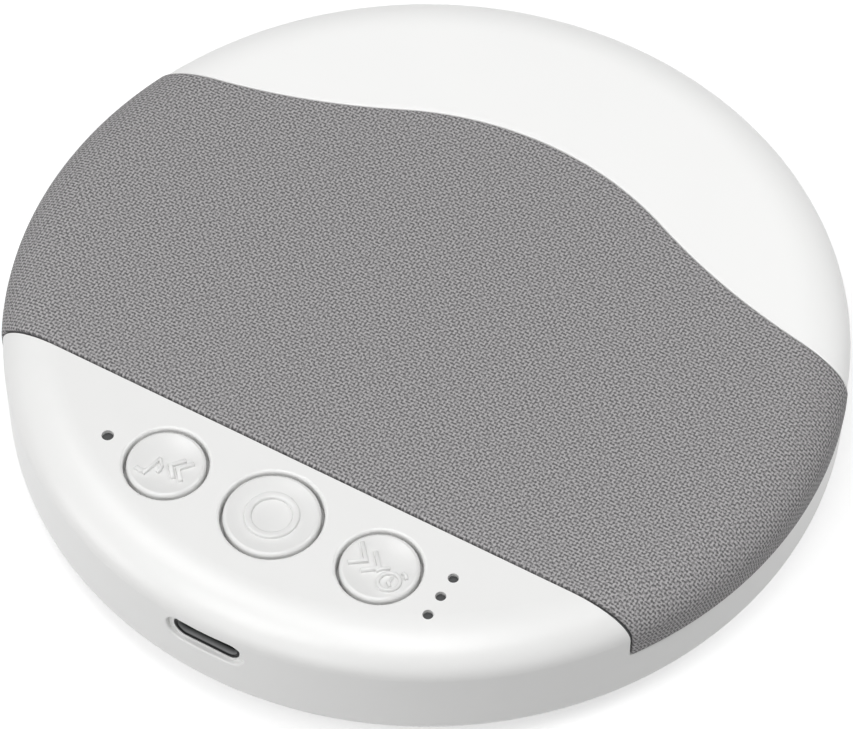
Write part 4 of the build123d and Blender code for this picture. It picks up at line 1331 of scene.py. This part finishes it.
@dataclass
class SurroundRoll(ElasticRing):
    """Foam half roll between the basket's flange and the cone's lip.

    Attributes:
        roll_radius: radius of the roll's inside.
        thickness: thickness of the foam.
        lip: width of its flat lip on the cone.
        steps: points of each half circle.
    """

    roll_radius: float = 1.3
    thickness: float = 0.3
    lip: float = 0.7
    steps: int = 25

    def section(self) -> np.ndarray:
        """Flat lip, half circle and flange below, and the same a thickness higher.

        Returns:
            Radius and height of each point, counter-clockwise.
        """
        low, high = (np.array(corner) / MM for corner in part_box(self.node))
        under, edge = low[2], high[0]
        centre = (self.fixed_radius + self.moving_radius) / 2
        outer = self.roll_radius + self.thickness
        foot = math.asin(self.thickness / outer)
        inside = np.linspace(math.pi, 0, self.steps)
        outside = np.linspace(foot, math.pi - foot, self.steps)
        lip = self.moving_radius - self.lip
        roll, crest = (
            zip(centre + radius * np.cos(turn), under + radius * np.sin(turn))
            for radius, turn in ((self.roll_radius, inside), (outer, outside))
        )
        return np.array([
            (lip, under), *roll, (edge, under),
            (edge, under + self.thickness), *crest, (lip, under + self.thickness),
        ])


@dataclass
class SpiderRing(ElasticRing):
    """Corrugated cloth ring between the basket's seat and the coil's former.

    It is thin and low enough to stay between the cone and the basket's floor at the lower limit.

    Attributes:
        inner_radius, seat_radius: where its waves start and end.
        ripple: height of a wave.
        folds: number of half waves.
        thickness: thickness of the cloth.
        steps: points of the waves.
    """

    inner_radius: float = 7.32
    seat_radius: float = 12.0
    ripple: float = 0.16
    folds: int = 8
    thickness: float = 0.1
    steps: int = 65

    def section(self) -> np.ndarray:
        """Wave of ripple times half of (1 - cos), a turn for every two folds, and a flat seat.

        Returns:
            Radius and height of each point, counter-clockwise.
        """
        low, high = (np.array(corner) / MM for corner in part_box(self.node))
        across = np.linspace(self.inner_radius, self.seat_radius, self.steps)
        fold = (across - self.inner_radius) / (self.seat_radius - self.inner_radius) * self.folds
        height = low[2] + self.ripple * (1 - np.cos(fold * math.pi)) / 2
        across, height = np.append(across, high[0]), np.append(height, low[2])
        under = np.stack([across, height], axis=-1)
        return np.concatenate([under, under[::-1] + (0, self.thickness)])


# ------------------------------------------------------------------ studio


@dataclass(frozen=True)
class StudioCamera:
    """Camera above and to the right of the deck.

    Attributes:
        azimuth, elevation, roll: its direction and turn, in degrees.
        distance: from the body's middle, in body radii.
        aside, above: how far it is moved across its view, in body radii.
        focal: focal length in pixels of the image.
        shift: offset of the lens, as a share of the image's width.
        sensor: width of the sensor.
        near, far: range of distances that it shows, in metres.
    """

    azimuth: float = 29.8358
    elevation: float = 52.8918
    roll: float = 0.3079
    distance: float = 9.9763
    aside: float = 0.0311
    above: float = 0.0701
    focal: float = 4132.72
    shift: tuple[float, float] = (-0.0155, -0.0029)
    sensor: float = 36.0
    near: float = 0.01
    far: float = 20.0

    def build(self, radius: float, under: float) -> bpy.types.Object:
        """Makes the camera and gives it to the scene.

        Args:
            radius: the body's radius.
            under: height of the body's underside.

        Returns:
            The camera.
        """
        back, right = direction(self.azimuth, self.elevation), direction(self.azimuth + 90, 0)
        above = back.cross(right)
        roll = math.radians(self.roll)
        right, above = (
            math.cos(roll) * right + math.sin(roll) * above,
            math.cos(roll) * above - math.sin(roll) * right,
        )
        place = (self.distance * back + self.aside * right + self.above * above) * radius
        place += Vector((0, 0, under))
        lens = bpy.data.cameras.new("studio_camera")
        lens.sensor_width = self.sensor
        lens.lens = self.focal * self.sensor / IMAGE_WIDTH
        lens.shift_x, lens.shift_y = self.shift
        lens.clip_start, lens.clip_end = self.near, self.far
        camera = bpy.data.objects.new("studio_camera", lens)
        turned = Matrix((right, above, back)).transposed().to_4x4()
        camera.matrix_world = Matrix.Translation(place * MM) @ turned
        bpy.context.scene.collection.objects.link(camera)
        bpy.context.scene.camera = camera
        return camera


@dataclass(frozen=True)
class SoftBox:
    """Large square soft lamp aimed at the object.

    Attributes:
        name: the lamp's name.
        azimuth: direction from the front towards the right, in degrees.
        elevation: height over the floor, in degrees.
        size: width and height, in metres.
        power: in watts.
        distance: from the object, in metres.
    """

    name: str
    azimuth: float
    elevation: float
    size: float
    power: float
    distance: float = 1.0

    def build(self) -> None:
        """Makes the lamp."""
        lamp = bpy.data.lights.new(self.name, "AREA")
        lamp.shape = "SQUARE"
        lamp.size = self.size
        lamp.energy = self.power
        away = direction(self.azimuth, self.elevation)
        box = bpy.data.objects.new(self.name, lamp)
        box.location = away * self.distance
        box.rotation_euler = away.to_track_quat("Z", "Y").to_euler()
        bpy.context.scene.collection.objects.link(box)


@dataclass
class Studio:
    """White sweep, soft lamps and camera.

    Attributes:
        floor_size: width of the floor, in metres.
        floor_colour: sRGB hex colour of the floor.
        floor_glow: strength of the white that it shows over its own colour.
        world_strength: strength of the surround's light.
        lamps: the soft lamps.
    """

    floor_size: float = 4.0
    floor_colour: str = "#C4C4C4"
    floor_glow: float = 0.6
    world_strength: float = 0.03
    lamps: tuple[SoftBox, ...] = (
        SoftBox("key_softbox", -18.0, 52.0, 0.4, 2.0),
        SoftBox("low_left_softbox", -45.0, 15.0, 0.5, 1.85),
        SoftBox("low_front_softbox", 0.0, 15.0, 0.5, 1.05),
        SoftBox("top_left_softbox", -90.0, 67.0, 0.35, 1.64),
        SoftBox("top_right_softbox", 30.0, 67.0, 0.35, 1.84),
        SoftBox("overhead_softbox", 0.0, 82.0, 0.3, 1.44),
        SoftBox("rear_softbox", 120.0, 52.0, 0.4, 3.3),
    )

    def seen(self, tree: bpy.types.NodeTree) -> bpy.types.NodeSocket:
        """Gives 1 for rays from the camera, off a gloss or through glass, which see white.

        Args:
            tree: the node tree that asks.

        Returns:
            The socket with the result.
        """
        rays = add_node(tree, "ShaderNodeLightPath").outputs
        sums = Arithmetic(tree)
        direct = sums.run("MAXIMUM", rays["Is Camera Ray"], rays["Is Transmission Ray"])
        return sums.run("MAXIMUM", direct, rays["Is Glossy Ray"])

    def build_world(self) -> None:
        """Makes an even white surround that lights softly and shows white."""
        world = bpy.data.worlds.new("white_surround")
        world.use_nodes = True
        bpy.context.scene.world = world
        tree = world.node_tree
        tree.nodes.clear()
        light = add_node(tree, "ShaderNodeBackground", inputs={
            "Color": linear("#FFFFFF"), "Strength": self.world_strength,
        })
        shown = add_node(tree, "ShaderNodeBackground", inputs={
            "Color": linear("#FFFFFF"), "Strength": 1.0,
        })
        mixed = add_node(tree, "ShaderNodeMixShader", inputs={
            0: self.seen(tree), 1: light.outputs[0], 2: shown.outputs[0],
        })
        add_node(tree, "ShaderNodeOutputWorld", inputs={"Surface": mixed.outputs[0]})

    def build_floor(self) -> None:
        """Makes the pale floor, which shows white and keeps the object's shadow."""
        half = self.floor_size / 2 / MM
        corners = np.array([(-1, -1, 0), (1, -1, 0), (1, 1, 0), (-1, 1, 0)]) * half
        floor = make_mesh("pale_floor", corners, np.array([[0, 1, 2, 3]]))
        material = bpy.data.materials.new("matt_white_board")
        material.use_nodes = True
        tree = material.node_tree
        tree.nodes.clear()
        matt = add_node(tree, "ShaderNodeBsdfDiffuse", inputs={"Color": linear(self.floor_colour)})
        white = add_node(tree, "ShaderNodeEmission", inputs={
            "Color": linear("#FFFFFF"), "Strength": self.floor_glow,
        })
        shown = add_node(tree, "ShaderNodeAddShader", inputs={
            0: matt.outputs[0], 1: white.outputs[0],
        })
        mixed = add_node(tree, "ShaderNodeMixShader", inputs={
            0: self.seen(tree), 1: matt.outputs[0], 2: shown.outputs[0],
        })
        add_node(tree, "ShaderNodeOutputMaterial", inputs={"Surface": mixed.outputs[0]})
        floor.data.materials.append(material)

    def build(self, radius: float, under: float) -> None:
        """Makes the whole studio.

        Args:
            radius: the body's radius.
            under: height of the body's underside.
        """
        bpy.context.scene.view_settings.view_transform = "Standard"
        self.build_world()
        self.build_floor()
        for lamp in self.lamps:
            lamp.build()
        StudioCamera().build(radius, under)
        LOG.info("studio, %d lamps", len(self.lamps))


# ------------------------------------------------------------------ the whole machine


@dataclass
class CadPieces:
    """Carried-over CAD nodes, each in its slot's finish."""

    def build(self) -> None:
        """Gives every CAD node a material."""
        for part in frame["record"]["subparts"]:
            button = part["node"].startswith("button_")
            # the buttons take the button finish, greyer than the case's ABS as painted shade on their dishes
            finish = BUTTON_FINISH if button else FINISHES[Slot(part["material_slot"])]
            dress(frame["nodes"][part["node"]], finish)
        LOG.info("CAD pieces, %d nodes", len(frame["nodes"]))


def main() -> None:
    """Builds the looks in order."""
    logging.basicConfig(level=logging.INFO, format="%(name)s: %(message)s")
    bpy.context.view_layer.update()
    low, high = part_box("housing_shell")
    form = BodyForm(top=high[2] / MM, radius=high[0] / MM)
    Studio().build(form.radius, low[2] / MM)
    CadPieces().build()
    GrilleCloth(form).build()
    NightLightCover(form).build()
    Controls().build()
    PortContacts().build()
    SurroundRoll("speaker_surround", Slot.FOAM, 17.4, 14.8).build("surround_roll")
    SpiderRing("speaker_spider", Slot.SPIDER, 9.6, 6.5).build("spider_ring")
    bpy.context.view_layer.update()


if __name__ == "__main__":
    main()
